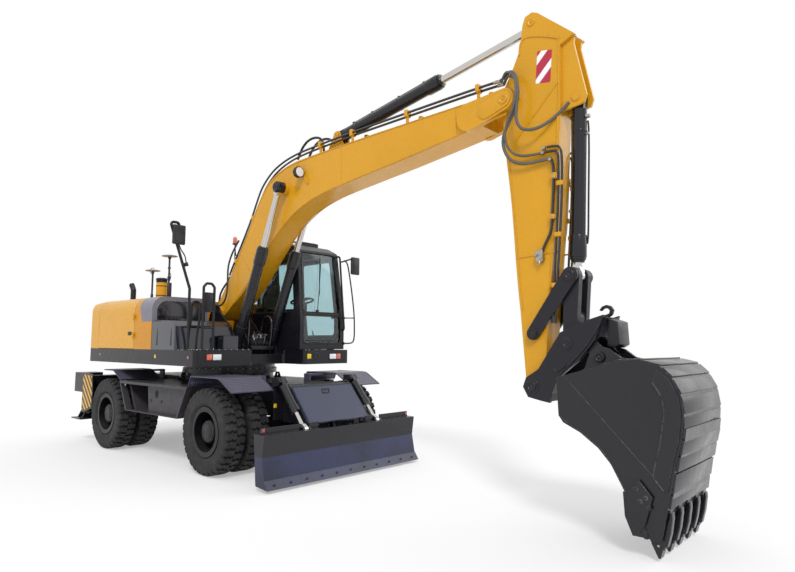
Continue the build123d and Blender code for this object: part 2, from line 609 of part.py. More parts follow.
def blade():
    """Curved mouldboard with end plates, cutting edge, rear spill plates, link lugs and cylinder lugs."""
    front = [(BLADE_FRONT_X, BLADE_BOTTOM_Z), (BLADE_FRONT_X - 62, 130), (BLADE_FRONT_X - 108, 365),
             (BLADE_FRONT_X - 76, BLADE_TOP_Z)]
    back = [(x - BLADE_SHEET, z) for x, z in reversed(front)]
    board = slab(front + back, -BLADE_HALF_WIDTH + 20, BLADE_HALF_WIDTH - 20)
    end_plate = slab([*front, (BLADE_FRONT_X - 265, 610), (BLADE_FRONT_X - 212, 58)],
                     BLADE_HALF_WIDTH - 20, BLADE_HALF_WIDTH)
    edge = slab([(x + 8, z) for x, z in front[:2]] + [(x, z) for x, z in reversed(front[:2])],
                -BLADE_HALF_WIDTH, BLADE_HALF_WIDTH)
    margin = offset(make_face(Polyline(*front, *back, close=True)), amount=SEAT_GAP, kind=Kind.INTERSECTION)
    margin = Pos(0, 1300, 0) * extrude(Plane.XZ * margin, amount=2600)
    back_x = BLADE_FRONT_X - 191
    spill = block(back_x, back_x + 15, 400, BLADE_HALF_WIDTH - 30, 560, 673)
    spill += block(back_x, BLADE_FRONT_X - 85, 400, BLADE_HALF_WIDTH - 30, 590, 604)
    spill -= margin
    box_rib = slab([(x - BLADE_SHEET - 1, z) for x, z in front[1:3]]
                   + [(back_x + 20, 330), (back_x + 20, 180)], -1000, 1000)
    box_rib -= block(back_x - 85, BLADE_FRONT_X + 24, -LINK_Y - 70, LINK_Y + 70, 0, 700)
    low, high = LINK_Y - LINK_THICKNESS / 2, LINK_Y + LINK_THICKNESS / 2
    lug_outline = [(LINK_END_X - 42, LINK_LOWER_Z + LINK_RISE - 42),
                   (BLADE_FRONT_X - 60, LINK_LOWER_Z + LINK_RISE - 60),
                   (BLADE_FRONT_X - 112, LINK_UPPER_Z + LINK_RISE + 44),
                   (LINK_END_X - 42, LINK_UPPER_Z + LINK_RISE + 44)]
    lugs = slab(lug_outline, high + 6, high + 30) + slab(lug_outline, low - 30, low - 6)
    for z in (LINK_LOWER_Z, LINK_UPPER_Z):
        lugs -= pin_y((LINK_END_X, z + LINK_RISE), 24 + RUNNING_CLEARANCE, low - 50, high + 50)
    foot = slab([(BLADE_CYLINDER_FOOT[0] - 34, BLADE_CYLINDER_FOOT[1] - 34),
                 (BLADE_FRONT_X - 104, 500), (BLADE_FRONT_X - 104, 580),
                 (BLADE_CYLINDER_FOOT[0] + 34, BLADE_CYLINDER_FOOT[1] + 34),
                 (BLADE_CYLINDER_FOOT[0] - 34, BLADE_CYLINDER_FOOT[1] + 34)],
                BLADE_CYLINDER_Y - 56, BLADE_CYLINDER_Y - 34)
    foot += Pos(0, 90, 0) * foot
    spill -= block(back_x - 85, back_x + 25, BLADE_CYLINDER_Y - 62, BLADE_CYLINDER_Y + 62, 540, 700)
    spill -= block(back_x - 85, back_x + 75, BLADE_CYLINDER_Y - 62, BLADE_CYLINDER_Y + 62, 585, 610)
    body = board + edge + box_rib + both_sides(end_plate + lugs + foot)
    keep("blade", body, spill, mirrored(spill))


def blade_cylinders():
    """The two lift cylinders beside the front tool box."""
    base, end = BLADE_CYLINDER_BASE, BLADE_CYLINDER_FOOT
    barrel, rod = cylinder(base, end, BLADE_CYLINDER_Y, 38, 450, 24, 54, 22, 22, 140)
    keep("blade_cylinder_barrels", barrel, mirrored(barrel))
    keep("blade_cylinder_rods", rod, mirrored(rod))


# ---------------------------------------------------------------- front tool box
def toolbox():
    """Wedge-shaped tool box between the frame's front and the blade, with its sloping lid."""
    top, bottom = TOOLBOX_TOP, TOOLBOX_BOTTOM
    front = FRAME_FRONT_X + 20 + SEAT_GAP
    slope = hypot(bottom[0] - top[0], top[1] - bottom[1])
    nx, nz = (top[1] - bottom[1]) / slope, (bottom[0] - top[0]) / slope
    thick = TOOLBOX_LID_THICKNESS
    inner_top = (top[0] - thick * nx, top[1] - thick * nz)
    inner_bottom = (bottom[0] - thick * nx, bottom[1] - thick * nz)
    half = TOOLBOX_HALF_WIDTH
    body = slab([(front, FRAME_TOP_Z - 4), (top[0] - 40, FRAME_TOP_Z - 4), inner_top, inner_bottom,
                 (inner_bottom[0], 640), (front, 640)], -half, half)
    body -= slab([(front + 12, FRAME_TOP_Z - 16), (top[0] - 46, FRAME_TOP_Z - 16),
                  (inner_top[0] + 5, inner_top[1] + 5),
                  (inner_bottom[0] + 5, inner_bottom[1] + 25), (inner_bottom[0] - 30, 652),
                  (front + 12, 652)],
                 -half + 12, half - 12)
    lid = slab([(top[0], top[1]), (bottom[0], bottom[1]),
                (inner_bottom[0] + TOOLBOX_LID_GAP * nx, inner_bottom[1] + TOOLBOX_LID_GAP * nz),
                (inner_top[0] + TOOLBOX_LID_GAP * nx, inner_top[1] + TOOLBOX_LID_GAP * nz)], -half, half)
    for y in (-380, 380):
        still, swinging = hinge_pair((0, 0, 0), (-44, 20), (8, 26), 10, 70)
        place = Pos(TOOLBOX_HINGE[0], y, TOOLBOX_HINGE[1]) * Rot(90, 0, 0)
        body += place * still
        lid += place * swinging
    keep("front_toolbox", body)
    keep("front_toolbox_lid", lid)


# ---------------------------------------------------------------- outriggers
def across(shape):
    """Turns a shape modelled in the X-Z plane into the plane of the outrigger legs, left side."""
    return Pos(OUTRIGGER_X, 0, 0) * Rot(0, 0, 90) * shape


def keep_sided(name, shape):
    """File a left-hand shape and its mirror image as two nodes."""
    keep(name + "_left", shape)
    keep(name + "_right", mirrored(shape))


def outrigger_frame():
    """Spine and wing beams across the chassis tail with leg pivots, cylinder covers and guards."""
    rear = OUTRIGGER_X - 70
    beam_front, beam_back = FRAME_REAR_X - 190, OUTRIGGER_X + 68
    top = FRAME_TOP_Z - 25
    spine = block(beam_back, FRAME_REAR_X, -SPINE_HALF_WIDTH, SPINE_HALF_WIDTH, 480, top)
    spine += block(rear - LEG_LUG_PLATE, beam_back + 1, -240, 240, 480, top)
    eye_x = rear - LEG_LUG_PLATE - TOW_EYE_REACH
    eye_low, eye_high = TOW_EYE_Z - TOW_EYE_PLATE / 2, TOW_EYE_Z + TOW_EYE_PLATE / 2
    spine += block(eye_x, rear - 20, -75, 75, eye_low, eye_high)
    spine += Pos(eye_x, 0, TOW_EYE_Z) * Cylinder(75, TOW_EYE_PLATE)
    spine -= Pos(eye_x, 0, TOW_EYE_Z) * Cylinder(TOW_EYE_BORE, TOW_EYE_PLATE + 2)
    wing = block(beam_back, beam_front, SPINE_HALF_WIDTH + SEAT_GAP, GUARD_Y - SEAT_GAP, 760, top)
    y, z = OUTRIGGER_PIVOT
    bore = across(pin_y(OUTRIGGER_PIVOT, 30 + SEAT_GAP, -130, 130))
    lugs = []
    for x, root in ((rear - LEG_LUG_PLATE, 240 + SEAT_GAP), (beam_back, SPINE_HALF_WIDTH + SEAT_GAP)):
        outline = [(root, z - 80), (y + 10, z - 80), (y + 70, z - 20), (y + 70, z + 40), (y, z + 110),
                   (root, z + 110)]
        lugs.append(plate_yz(outline, x, x + LEG_LUG_PLATE) - bore)
    pin = across(pin_y(OUTRIGGER_PIVOT, 30, -98, 98))
    top_y, top_z = OUTRIGGER_CYLINDER_TOP
    outer, wall = GUARD_Y + GUARD_PLATE, 10
    cover = block(OUTRIGGER_X - 250, beam_back - SEAT_GAP, top_y - 110, outer, 790, 1100)
    cover -= block(OUTRIGGER_X - 250 + wall, beam_back - wall, top_y - 110 + wall, outer - wall, 789,
                   1100 - wall)
    for offset in (-62, 42):
        cover += block(OUTRIGGER_X + offset, OUTRIGGER_X + offset + 20, top_y - 45, top_y + 45,
                       top_z - 45, 1095)
    cover += across(pin_y(OUTRIGGER_CYLINDER_TOP, 20, -60, 60))
    guard = slab([(beam_back, 1105), (-2010, 1085), (-1978, 800), (-1990, 560), (-2300, 470),
                  (beam_back, 490)],
                 GUARD_Y, outer)
    half = [wing, *lugs, pin, cover, guard]
    keep("outrigger_frame", spine, *half, *[mirrored(shape) for shape in half])


def outriggers():
    """Swinging legs made of two plates, level foot pads and the cylinders that push the legs down."""
    plates = strap(OUTRIGGER_PIVOT, 66, OUTRIGGER_TIP, 50, -LEG_HALF_WIDTH, LEG_HALF_WIDTH)
    y_mid = (OUTRIGGER_PIVOT[0] + OUTRIGGER_TIP[0]) / 2
    plates -= block(y_mid + 120, OUTRIGGER_TIP[0] + 60, -LEG_HALF_WIDTH + LEG_PLATE,
                    LEG_HALF_WIDTH - LEG_PLATE, 300, 700)
    plates -= pin_y(OUTRIGGER_PIVOT, 30 + RUNNING_CLEARANCE, -80, 80)
    plates -= pin_y(OUTRIGGER_TIP, 22 + RUNNING_CLEARANCE, -80, 80)
    keep_sided("outrigger_leg", across(plates))
    y, z = OUTRIGGER_TIP
    pad = Pos(y, 0, FOOT_BOTTOM_Z + 10) * Box(FOOT_WIDTH, FOOT_LENGTH, 20)
    for centre in (-LEG_HALF_WIDTH - 18, LEG_HALF_WIDTH + 18):
        pad += slab([(y - 90, FOOT_BOTTOM_Z + 15), (y + 90, FOOT_BOTTOM_Z + 15), (y + 34, z + 20),
                     (y - 34, z + 20)], centre - 10, centre + 10)
    pad += pin_y(OUTRIGGER_TIP, 22, -LEG_HALF_WIDTH - 10, LEG_HALF_WIDTH + 10)
    keep_sided("outrigger_foot", across(pad))
    barrel, rod = cylinder(OUTRIGGER_CYLINDER_TOP, OUTRIGGER_CYLINDER_FOOT, 0, 32, 484, 22, 56, 20, 18, 399)
    keep_sided("outrigger_barrel", across(barrel))
    keep_sided("outrigger_rod", across(rod))


# ---------------------------------------------------------------- upper structure
BRACKET_LOW, BRACKET_HIGH = 213, 243


def upper_frame():
    """Revolving frame: skirted deck with a tail arc, boom bracket plates and cylinder lugs."""
    plan = [(-TAIL_RADIUS, -UPPER_HALF_WIDTH), (RIGHT_PLATFORM_X, -UPPER_HALF_WIDTH),
            (RIGHT_PLATFORM_X, -372), (820, -372), (820, 372), (LEFT_PLATFORM_X, 372),
            (LEFT_PLATFORM_X, UPPER_HALF_WIDTH - 5), (-TAIL_RADIUS, UPPER_HALF_WIDTH - 5)]
    deck = sheet_xy(plan, UPPER_BOTTOM_Z, DECK_TOP_Z, 50)
    deck &= Pos(0, 0, (UPPER_BOTTOM_Z + DECK_TOP_Z) / 2) * Cylinder(TAIL_RADIUS,
                                                                    DECK_TOP_Z - UPPER_BOTTOM_Z)
    deck -= block(380, 830, -373, 373, 1440, DECK_TOP_Z + SEAT_GAP)
    race_low, race_high = RING_TOP_Z + SEAT_GAP, UPPER_BOTTOM_Z + 10
    race = Pos(0, 0, (race_low + race_high) / 2) * Cylinder(RING_RADIUS - 30, race_high - race_low)
    fx, fz = BOOM_FOOT
    bx, bz = BOOM_CYLINDER_BASE
    bracket = slab([(fx - 330, DECK_TOP_Z - 30), (fx - 130, fz), (fx - 60, fz + 120), (fx + 60, fz + 120),
                    (fx + 130, fz), (fx + 390, fz - 205), (bx - 115, bz + 105), (bx - 55, bz + 82),
                    (bx + 40, bz + 86), (bx + 90, bz + 20), (bx + 90, 1430), (380, 1430)],
                   BRACKET_LOW, BRACKET_HIGH)
    lug = slab([(bx - 150, 1430), (bx - 70, bz + 60), (bx + 50, bz + 60), (bx + 95, 1430)], 338, 362)
    body = deck + race + both_sides(bracket + lug)
    for x in (CAB_REAR_X + 150, 1000):
        for y in (CAB_INNER_Y + 140, CAB_OUTER_Y - 120):
            body += Pos(x, y, (DECK_TOP_Z - 5 + CAB_BASE_Z - SEAT_GAP) / 2) * Cylinder(
                60, CAB_BASE_Z - SEAT_GAP - DECK_TOP_Z + 5)
    body += pin_y(BOOM_FOOT, 45, -BRACKET_LOW - 10, BRACKET_HIGH - 10)
    body += both_sides(pin_y(BOOM_CYLINDER_BASE, 40, BRACKET_LOW + 10, 345))
    keep("upper_frame", body)


def housing_section(inset, x_low, x_high):
    """The engine housing's outer form drawn in by an inset: upright sides and round shoulders."""
    half, top = UPPER_HALF_WIDTH - inset, BODY_TOP_Z - inset
    radius = SHOULDER_RADIUS - inset
    low = DECK_TOP_Z - 2 * SHOULDER_RADIUS
    return plate_yz([(half, low), (half, top), (-half, top), (-half, low)], x_low, x_high, radius)


def body_length(x_low, x_high, z_low=DECK_TOP_Z + SEAT_GAP):
    """A stretch of the engine housing as a shell of panel thickness."""
    shell = housing_section(0, x_low, x_high) - housing_section(PANEL_THICKNESS, x_low - 1, x_high + 1)
    return shell & block(x_low, x_high, -2000, 2000, z_low, 3000)


def engine_housing():
    """Counterweight, side doors, engine hood, right front panel and bulkhead."""
    gap = DOOR_GAP
    weight = housing_section(0, -TAIL_RADIUS, COUNTERWEIGHT_X)
    weight &= Pos(0, 0, 1900) * Cylinder(TAIL_RADIUS, 1000)
    weight &= slab([(-TAIL_RADIUS - 1, DECK_TOP_Z + SEAT_GAP), (-TAIL_RADIUS - 1, 1880),
                    (-TAIL_RADIUS + 70, 2060),
                    (-TAIL_RADIUS + 260, 2190), (COUNTERWEIGHT_X, BODY_TOP_Z + 1),
                    (COUNTERWEIGHT_X, DECK_TOP_Z + SEAT_GAP)],
                   -BODY_REACH, BODY_REACH)
    keep("counterweight", weight)
    low, high = COUNTERWEIGHT_X + gap, DOOR_FRONT_X - gap
    shell = body_length(low, high, DECK_TOP_Z + 6)
    shoulder = shell & block(low, high + gap, HOOD_HALF_WIDTH + gap, SHOULDER_INNER_Y, 1400, 2300)
    shoulder += block(low, high + gap, SHOULDER_INNER_Y - 40, SHOULDER_INNER_Y - 20, DECK_TOP_Z + SEAT_GAP,
                      BODY_TOP_Z - 10)
    panel = body_length(DOOR_FRONT_X, HOOD_FRONT_X)
    panel &= block(DOOR_FRONT_X, HOOD_FRONT_X, -BODY_REACH, -385, 1400, 2300)
    inner = UPPER_HALF_WIDTH - PANEL_THICKNESS + 2
    nose = housing_section(PANEL_THICKNESS - 2, HOOD_FRONT_X - 30, HOOD_FRONT_X)
    nose &= block(HOOD_FRONT_X - 30, HOOD_FRONT_X, -inner, -385, TANK_TOP_Z + 6, BODY_TOP_Z)
    bulkhead = housing_section(0, DOOR_FRONT_X, DOOR_FRONT_X + BULKHEAD)
    bulkhead &= block(DOOR_FRONT_X, HOOD_FRONT_X, -BODY_REACH, BODY_REACH, DECK_TOP_Z + SEAT_GAP,
                      BODY_TOP_Z + 1)
    inboard = block(DOOR_FRONT_X + 5, HOOD_FRONT_X, -400, -385, DECK_TOP_Z + SEAT_GAP, 2216)
    fixed = panel + nose + bulkhead + inboard + both_sides(shoulder)
    door = shell & block(low, high, SHOULDER_INNER_Y + gap, BODY_REACH, 1400, 2300)
    for z in (1700, 1960):
        still, swinging = hinge_pair((*SERVICE_DOOR_HINGE, z), (24, -22), (-44, -20))
        fixed += both_sides(still)
        door += swinging
    hood = shell & block(low, high, -HOOD_HALF_WIDTH, HOOD_HALF_WIDTH, 2100, 2300)
    for y in (-450, 450):
        still, swinging = hinge_pair((0, 0, 0), (24, -22), (-44, -20))
        place = Pos(ENGINE_HOOD_HINGE[0], y, ENGINE_HOOD_HINGE[1]) * Rot(90, 0, 0)
        fixed += place * still
        hood += place * swinging
    keep("hood_frame", fixed)
    keep("engine_hood", hood)
    keep("service_door_left", door)
    keep("service_door_right", mirrored(door))
    keep("engine", block(-1680, -1000, -430, 430, DECK_TOP_Z + SEAT_GAP, 2080))


def deck_boxes():
    """Fuel tank in front of the right panel with a battery box and a step platform ahead of it."""
    low, inner, outer = DECK_TOP_Z + SEAT_GAP, -385, -UPPER_HALF_WIDTH + 5
    start = HOOD_FRONT_X + 3
    tank = slab([(start, low - 100), (TANK_FRONT_X, low - 100), (TANK_FRONT_X - 40, TANK_TOP_Z - 70),
                 (TANK_FRONT_X - 130, TANK_TOP_Z), (start, TANK_TOP_Z), (start, low)], outer, inner)
    plan = sheet_xy([(start - 100, outer), (TANK_FRONT_X, outer), (TANK_FRONT_X, inner),
                     (start - 100, inner)],
                    low, TANK_TOP_Z + 1, 60)
    battery_front = TANK_FRONT_X + 6 + 150
    battery = sheet_xy([(TANK_FRONT_X + 6, -640), (battery_front, -640), (battery_front, -400),
                        (TANK_FRONT_X + 6, -400)], low, low + 190, 12)
    keep("deck_boxes", tank & plan & block(start, TANK_FRONT_X, outer, inner, low, TANK_TOP_Z), battery)


def rail(points, radius, bend):
    """Round tube along a run of points, its corners bent to one radius."""
    path = FilletPolyline(*points, radius=bend)
    return sweep(Plane(origin=path @ 0, z_dir=path % 0) * Circle(radius), path=path)


def handrails():
    """Two-post hooped rail on the right platform."""
    x, foot, shoulder, top = 1060, DECK_TOP_Z + SEAT_GAP, 2320, 2365
    outer, inner = -1120, -965
    return rail([(x, outer, foot), (x, outer, shoulder), (x, outer + 40, top), (x, inner - 40, top),
                 (x, inner, shoulder), (x, inner, foot)], 17, 30)


def mirror_mast():
    """Mirror hung from a leaning mast at the right platform."""
    x, foot_y, head_y, head_z = 850, -1200, -1500, 3140
    mast = rail([(x, foot_y, DECK_TOP_Z + SEAT_GAP), (x, foot_y, 2300), (x, head_y, head_z),
                 (x, head_y + 120, head_z),
                 (x, head_y + 120, head_z - 60)], 18, 34)
    return mast + block(x - 15, x + 15, -1460, -1300, 2870, head_z - 40)


def grab_rail():
    """Long grab rail at the cab's left front corner with the left mirror hung outside it."""
    x, y = CAB_FRONT_X + 42, CAB_OUTER_Y - 30
    head = (x - 70, y - 50, 2950)
    rails = rail([(x - 180, y - 50, 2950), head, (x, y, 1800), (CAB_FRONT_X - 70, y, 1800)], 15, 40)
    rails -= cab_solid(-SEAT_GAP)
    mirror_y = y + 205
    arm = rail([(x - 62, y - 45, 2860), (x + 9, mirror_y - 60, 2930), (x + 9, mirror_y, 2930)], 12, 40)
    return rails + arm + block(x - 6, x + 24, mirror_y - 80, mirror_y + 80, 2690, 2945)


def exhaust():
    """Exhaust pipe bent to the rear and the air pre-cleaner, both on the housing's right shoulder."""
    x, y = -1600, -810
    stack = bar((x, y, BODY_TOP_Z + SEAT_GAP), (x, y, 2440), 42) + Pos(x, y, 2440) * Sphere(42)
    stack += bar((x, y, 2440), (x - 70, y, 2530), 42)
    cleaner = Pos(-670, y, BODY_TOP_Z + SEAT_GAP + 125) * Cylinder(78, 250)
    keep("exhaust_and_intake", stack, cleaner)


# ---------------------------------------------------------------- cab
DOOR_X = (170, 1010)


def cab_solid(inset):
    """The cab's outer form drawn in by an inset: side profile crossed with the front profile."""
    side = make_face(Polyline((CAB_REAR_X, CAB_BASE_Z), (CAB_REAR_X, 2900), (CAB_REAR_X + 90, 3070),
                              (0, CAB_TOP_Z), (900, CAB_TOP_Z - 25), (CAB_FRONT_X - 95, 2985),
                              (CAB_FRONT_X, 1900), (CAB_FRONT_X, CAB_BASE_Z), close=True))
    front = make_face(Polyline((CAB_INNER_Y, CAB_BASE_Z), (CAB_OUTER_Y, CAB_BASE_Z), (CAB_OUTER_Y, 2050),
                               (CAB_OUTER_Y - 75, 3020), (CAB_OUTER_Y - 130,
                                                          CAB_TOP_Z), (CAB_INNER_Y + 50, CAB_TOP_Z),
                               (CAB_INNER_Y, 3050), close=True))
    if inset:
        side = offset(side, amount=-inset, kind=Kind.INTERSECTION)
        front = offset(front, amount=-inset, kind=Kind.INTERSECTION)
    radius = max(CAB_CORNER_RADIUS - inset, 5)
    side = fillet([corner for corner in side.vertices() if corner.Y > CAB_ROOF_BEND_Z], radius)
    front = fillet([corner for corner in front.vertices() if corner.Y > CAB_ROOF_BEND_Z], radius)
    side_solid = Pos(0, 1500, 0) * extrude(Plane.XZ * side, amount=1500)
    front_solid = Pos(-1000, 0, 0) * extrude(Plane.YZ * front, amount=3000)
    return side_solid & front_solid


def cab():
    """Hollow cab with its window openings, the door in its own frame, and the panes."""
    shell = cab_solid(0) - cab_solid(CAB_WALL)
    pane_layer = cab_solid(18) - cab_solid(26)
    low, high = DOOR_X
    windows = {
        "front_upper": plate_yz([(CAB_INNER_Y + 60, 2060), (CAB_OUTER_Y - 70, 2060),
                                 (CAB_OUTER_Y - 130, 2960),
                                 (CAB_INNER_Y + 60, 2960)], 800, 1300, 60),
        "front_lower": plate_yz([(CAB_INNER_Y + 60, 1600), (CAB_OUTER_Y - 65, 1600),
                                 (CAB_OUTER_Y - 65, 2010),
                                 (CAB_INNER_Y + 60, 2010)], 1000, 1300, 60),
        "right": slab([(-380, 2060), (1020, 2060), (950, 2950), (-380, 2950)], 300, 500, 60),
        "rear": plate_yz([(CAB_INNER_Y + 90, 2150), (CAB_OUTER_Y - 140, 2150), (CAB_OUTER_Y - 160, 2900),
                          (CAB_INNER_Y + 90, 2900)], -600, -400, 60),
        "left_rear": slab([(-420, 2080), (70, 2080), (70, 2940), (-420, 2940)], 1000, 1300, 60),
        "roof": sheet_xy([(350, CAB_INNER_Y + 170), (800, CAB_INNER_Y + 170), (800, CAB_OUTER_Y - 260),
                          (350, CAB_OUTER_Y - 260)], 3000, 3200, 40),
    }
    door_outline = [(low, CAB_BASE_Z + 50), (high + 60, CAB_BASE_Z + 50), (high + 60, 1950),
                    (high, 2950), (low, 2950)]
    door_zone = slab(door_outline, 1060, 1300, 60)
    rim = offset(make_face(Polyline(*door_outline, close=True)), amount=6, kind=Kind.INTERSECTION)
    rim_zone = Pos(0, 1300, 0) * extrude(Plane.XZ * rim, amount=240)
    door_window = slab([(low + 70, 1720), (high - 10, 1720), (high - 10, 1950), (high - 75, 2880),
                        (low + 70, 2880)], 1000, 1300, 60)
    door = (shell & door_zone) - door_window
    shell -= rim_zone
    for z in (1700, 1990):
        still, swinging = hinge_pair((*CAB_DOOR_HINGE, z), (-44, -20), (44, -20))
        shell += still
        door += swinging
    keep("cab_door", door)
    keep("door_pane", pane_layer & door_window)
    panes = []
    middle_y = (CAB_INNER_Y + CAB_OUTER_Y) / 2
    hatch = sheet_xy([(310, middle_y - 250), (840, middle_y - 250), (840, middle_y + 190),
                      (310, middle_y + 190)], CAB_TOP_Z - 80, CAB_TOP_Z + 42, 40)
    body = shell + (hatch - cab_solid(CAB_WALL))
    for window in windows.values():
        body -= window
        panes.append(pane_layer & window)
    keep("cab_shell", body)
    keep("cab_panes", *panes)


def cab_interior():
    """Seat on its base, and the two consoles with the steering column in front."""
    y = (CAB_INNER_Y + CAB_OUTER_Y) / 2
    floor = CAB_BASE_Z + CAB_WALL + SEAT_GAP
    base = block(-60, 360, y - 190, y + 190, floor, floor + 330)
    cushion = Pos(170, y, floor + 330 + SEAT_GAP + 60) * Box(480, 470, 120)
    back = Pos(-110, y, floor + 760) * Rot(0, -8, 0) * Box(120, 450, 680)
    keep("operator_seat", cushion + back)
    consoles = block(-100, 420, y - 330, y - 245, floor, floor + 560)
    consoles += block(-100, 420, y + 245, y + 300, floor, floor + 560)
    column = bar((780, y, floor + 6), (690, y, floor + 640), 45)
    wheel = Pos(680, y, floor + 690) * Rot(0, -12, 0) * Torus(170, 15)
    spokes = Pos(680, y, floor + 690) * Rot(0, -12, 0) * Box(330, 30, 14)
    column += bar((690, y, floor + 640), (681, y, floor + 692), 25)
    keep("cab_fittings", base, consoles, column + wheel + spokes)


# ---------------------------------------------------------------- working gear
def boom():
    """One-piece boom: two web plates and their flanges as a box, with foot boss, tip ears and lugs."""
    fx, fz = BOOM_FOOT
    tx, tz = BOOM_TIP
    back_foot, belly_foot = (fx - 85, fz + 75), (fx + 75, fz - 85)
    side = outline(
        ("curve", [back_foot, (231, 2660), (600, 3190), (860, 3620), (1060, 3846), (1330, 3985),
                   (1700, 4062)]),
        ("line", [(1700, 4062), (2186, 4083), (3181, 4110), (4444, 4130), (4580, 4125), (4700, 4050),
                  (4700, 3840), (4403, 3799), (3584, 3691), (2579, 3575)]),
        ("curve", [(2579, 3575), (2201, 3522), (1798, 3415), (1374, 3175), (1000, 2815), (628, 2425),
                   (258, 2155)]),
        ("line", [(258, 2155), belly_foot, back_foot]))
    body = box_girder(side, BOOM_HALF_WIDTH, BOOM_PLATE)
    body += pin_y(BOOM_FOOT, 112, -BRACKET_LOW + 6, BRACKET_LOW - 6)
    body -= pin_y(BOOM_FOOT, 45 + RUNNING_CLEARANCE, -300, 300)
    ear = strap((4560, 3960), 150, BOOM_TIP, 112, BOOM_HALF_WIDTH - 28, BOOM_HALF_WIDTH + 40)
    web = slab([(4500, 4110), (4500, 3830), (4700, 3840), (tx, tz - 105), (tx, tz + 95), (4700, 4120)],
               BOOM_HALF_WIDTH - 28, BOOM_HALF_WIDTH)
    body += both_sides(ear + web)
    body += pin_y(BOOM_TIP, 45, -BOOM_HALF_WIDTH - 45, BOOM_HALF_WIDTH + 45)
    body += pin_y(BOOM_CYLINDER_ROD, 88, -BOOM_CYLINDER_Y + 52, BOOM_CYLINDER_Y - 52)
    cx, cz = ARM_CYLINDER_BASE
    lug = slab([(cx - 190, 4070), (cx - 62, cz), (cx - 45, cz + 48), (cx + 20, cz + 62), (cx + 58, cz + 30),
                (cx + 75, cz - 60), (cx + 150, 4080)], 56, 84)
    body += both_sides(lug)
    body += pin_y(ARM_CYLINDER_BASE, 38, -92, 92)
    keep("boom", body)


def boom_cylinders():
    """The two boom cylinders, one on each side of the boom."""
    base, end = BOOM_CYLINDER_BASE, BOOM_CYLINDER_ROD
    barrel, rod = cylinder(base, end, BOOM_CYLINDER_Y, 58, 1480, 42, 84, 40, 44, 640)
    rod += pin_y(end, 58, BOOM_CYLINDER_Y + 40, BOOM_CYLINDER_Y + 58)
    keep("boom_cylinder_barrels", barrel, mirrored(barrel))
    keep("boom_cylinder_rods", rod, mirrored(rod))


def arm():
    """Dipper arm: a tapering box with a pivot boss, ears for two cylinders and a tip boss."""
    tx, tz = ARM_TIP
    ax, az = BOOM_TIP
    side = outline(
        ("line", [(5160, 4600), (5016, 4298), (4932, 4165), (ax - 130, az), (ax - 60, az - 130)]),
        ("curve", [(ax - 60, az - 130), (4948, 3541), (5002, 3071), (5050, 2419), (5094, 1930)]),
        ("line", [(5094, 1930), (tx - 90, tz + 20), (tx - 30, tz - 92), (tx + 60, tz - 70), (5362, 1533)]),
        ("curve", [(5362, 1533), (5426, 2245), (5491, 2945), (5526, 3500), (5548, 3831)]),
        ("line", [(5548, 3831), (5560, 4480), (5160, 4600)]))
    body = box_girder(side, ARM_HALF_WIDTH, ARM_PLATE)
    rx, rz = ARM_CYLINDER_ROD
    ear = slab([(5130, 4560), (rx - 95, rz), (rx - 65, rz + 75), (rx + 10, rz + 98), (rx + 70, rz + 70),
                (5700, 4510),
                (5560, 4440)], ARM_HALF_WIDTH - 52, ARM_HALF_WIDTH)
    bx, bz = BUCKET_CYLINDER_BASE
    front_ear = slab([(5550, 4500), (5690, 4515), (5680, 4430), (bx + 105, bz), (bx + 80, bz - 70),
                      (bx, bz - 88),
                      (5530, 3800)], ARM_HALF_WIDTH - 60, ARM_HALF_WIDTH - 32)
    body += both_sides(ear + front_ear)
    body += pin_y(BUCKET_CYLINDER_BASE, 36, -ARM_HALF_WIDTH + 20, ARM_HALF_WIDTH - 20)
    body += pin_y(BOOM_TIP, 120, -BOOM_HALF_WIDTH + 34, BOOM_HALF_WIDTH - 34)
    body -= pin_y(BOOM_TIP, 45 + RUNNING_CLEARANCE, -300, 300)
    body += pin_y(ARM_TIP, 82, -136, 136)
    body -= pin_y(ARM_TIP, 40 + RUNNING_CLEARANCE, -300, 300)
    body += pin_y(SIDE_LINK_FOOT, 36, -178, 178)
    keep("arm", body)


def arm_cylinder():
    """The arm cylinder on top of the boom."""
    barrel, rod = cylinder(ARM_CYLINDER_BASE, ARM_CYLINDER_ROD, 0, 62, 1660, 44, 96, 38, 42, 480)
    keep("arm_cylinder_barrel", barrel)
    keep("arm_cylinder_rod", rod)


def bucket_cylinder():
    """The bucket cylinder in front of the arm, almost closed at rest."""
    barrel, rod = cylinder(BUCKET_CYLINDER_BASE, LINK_TOP, 0, 54, 1520, 38, 84, 36, 36, 1305)
    keep("bucket_cylinder_barrel", barrel)
    keep("bucket_cylinder_rod", rod)


def linkage():
    """Side links from the arm to the cylinder pin, and the push link down to the coupler."""
    side = strap(SIDE_LINK_FOOT, 62, LINK_TOP, 74, 138, 166)
    side -= pin_y(SIDE_LINK_FOOT, 36 + RUNNING_CLEARANCE, 130, 175)
    side += pin_y(LINK_TOP, 34, 56, 176)
    keep("side_links", side, mirrored(side))
    push = strap(LINK_TOP, 76, COUPLER_PIN, 64, 58, 128)
    push -= pin_y(LINK_TOP, 34 + RUNNING_CLEARANCE, 50, 140)
    top, bottom = LINK_TOP, COUPLER_PIN
    middle = along(top, bottom, 470)
    web = strap(along(top, bottom, 380), 60, middle, 60, -60, 60)
    keep("push_link", both_sides(push) + web)


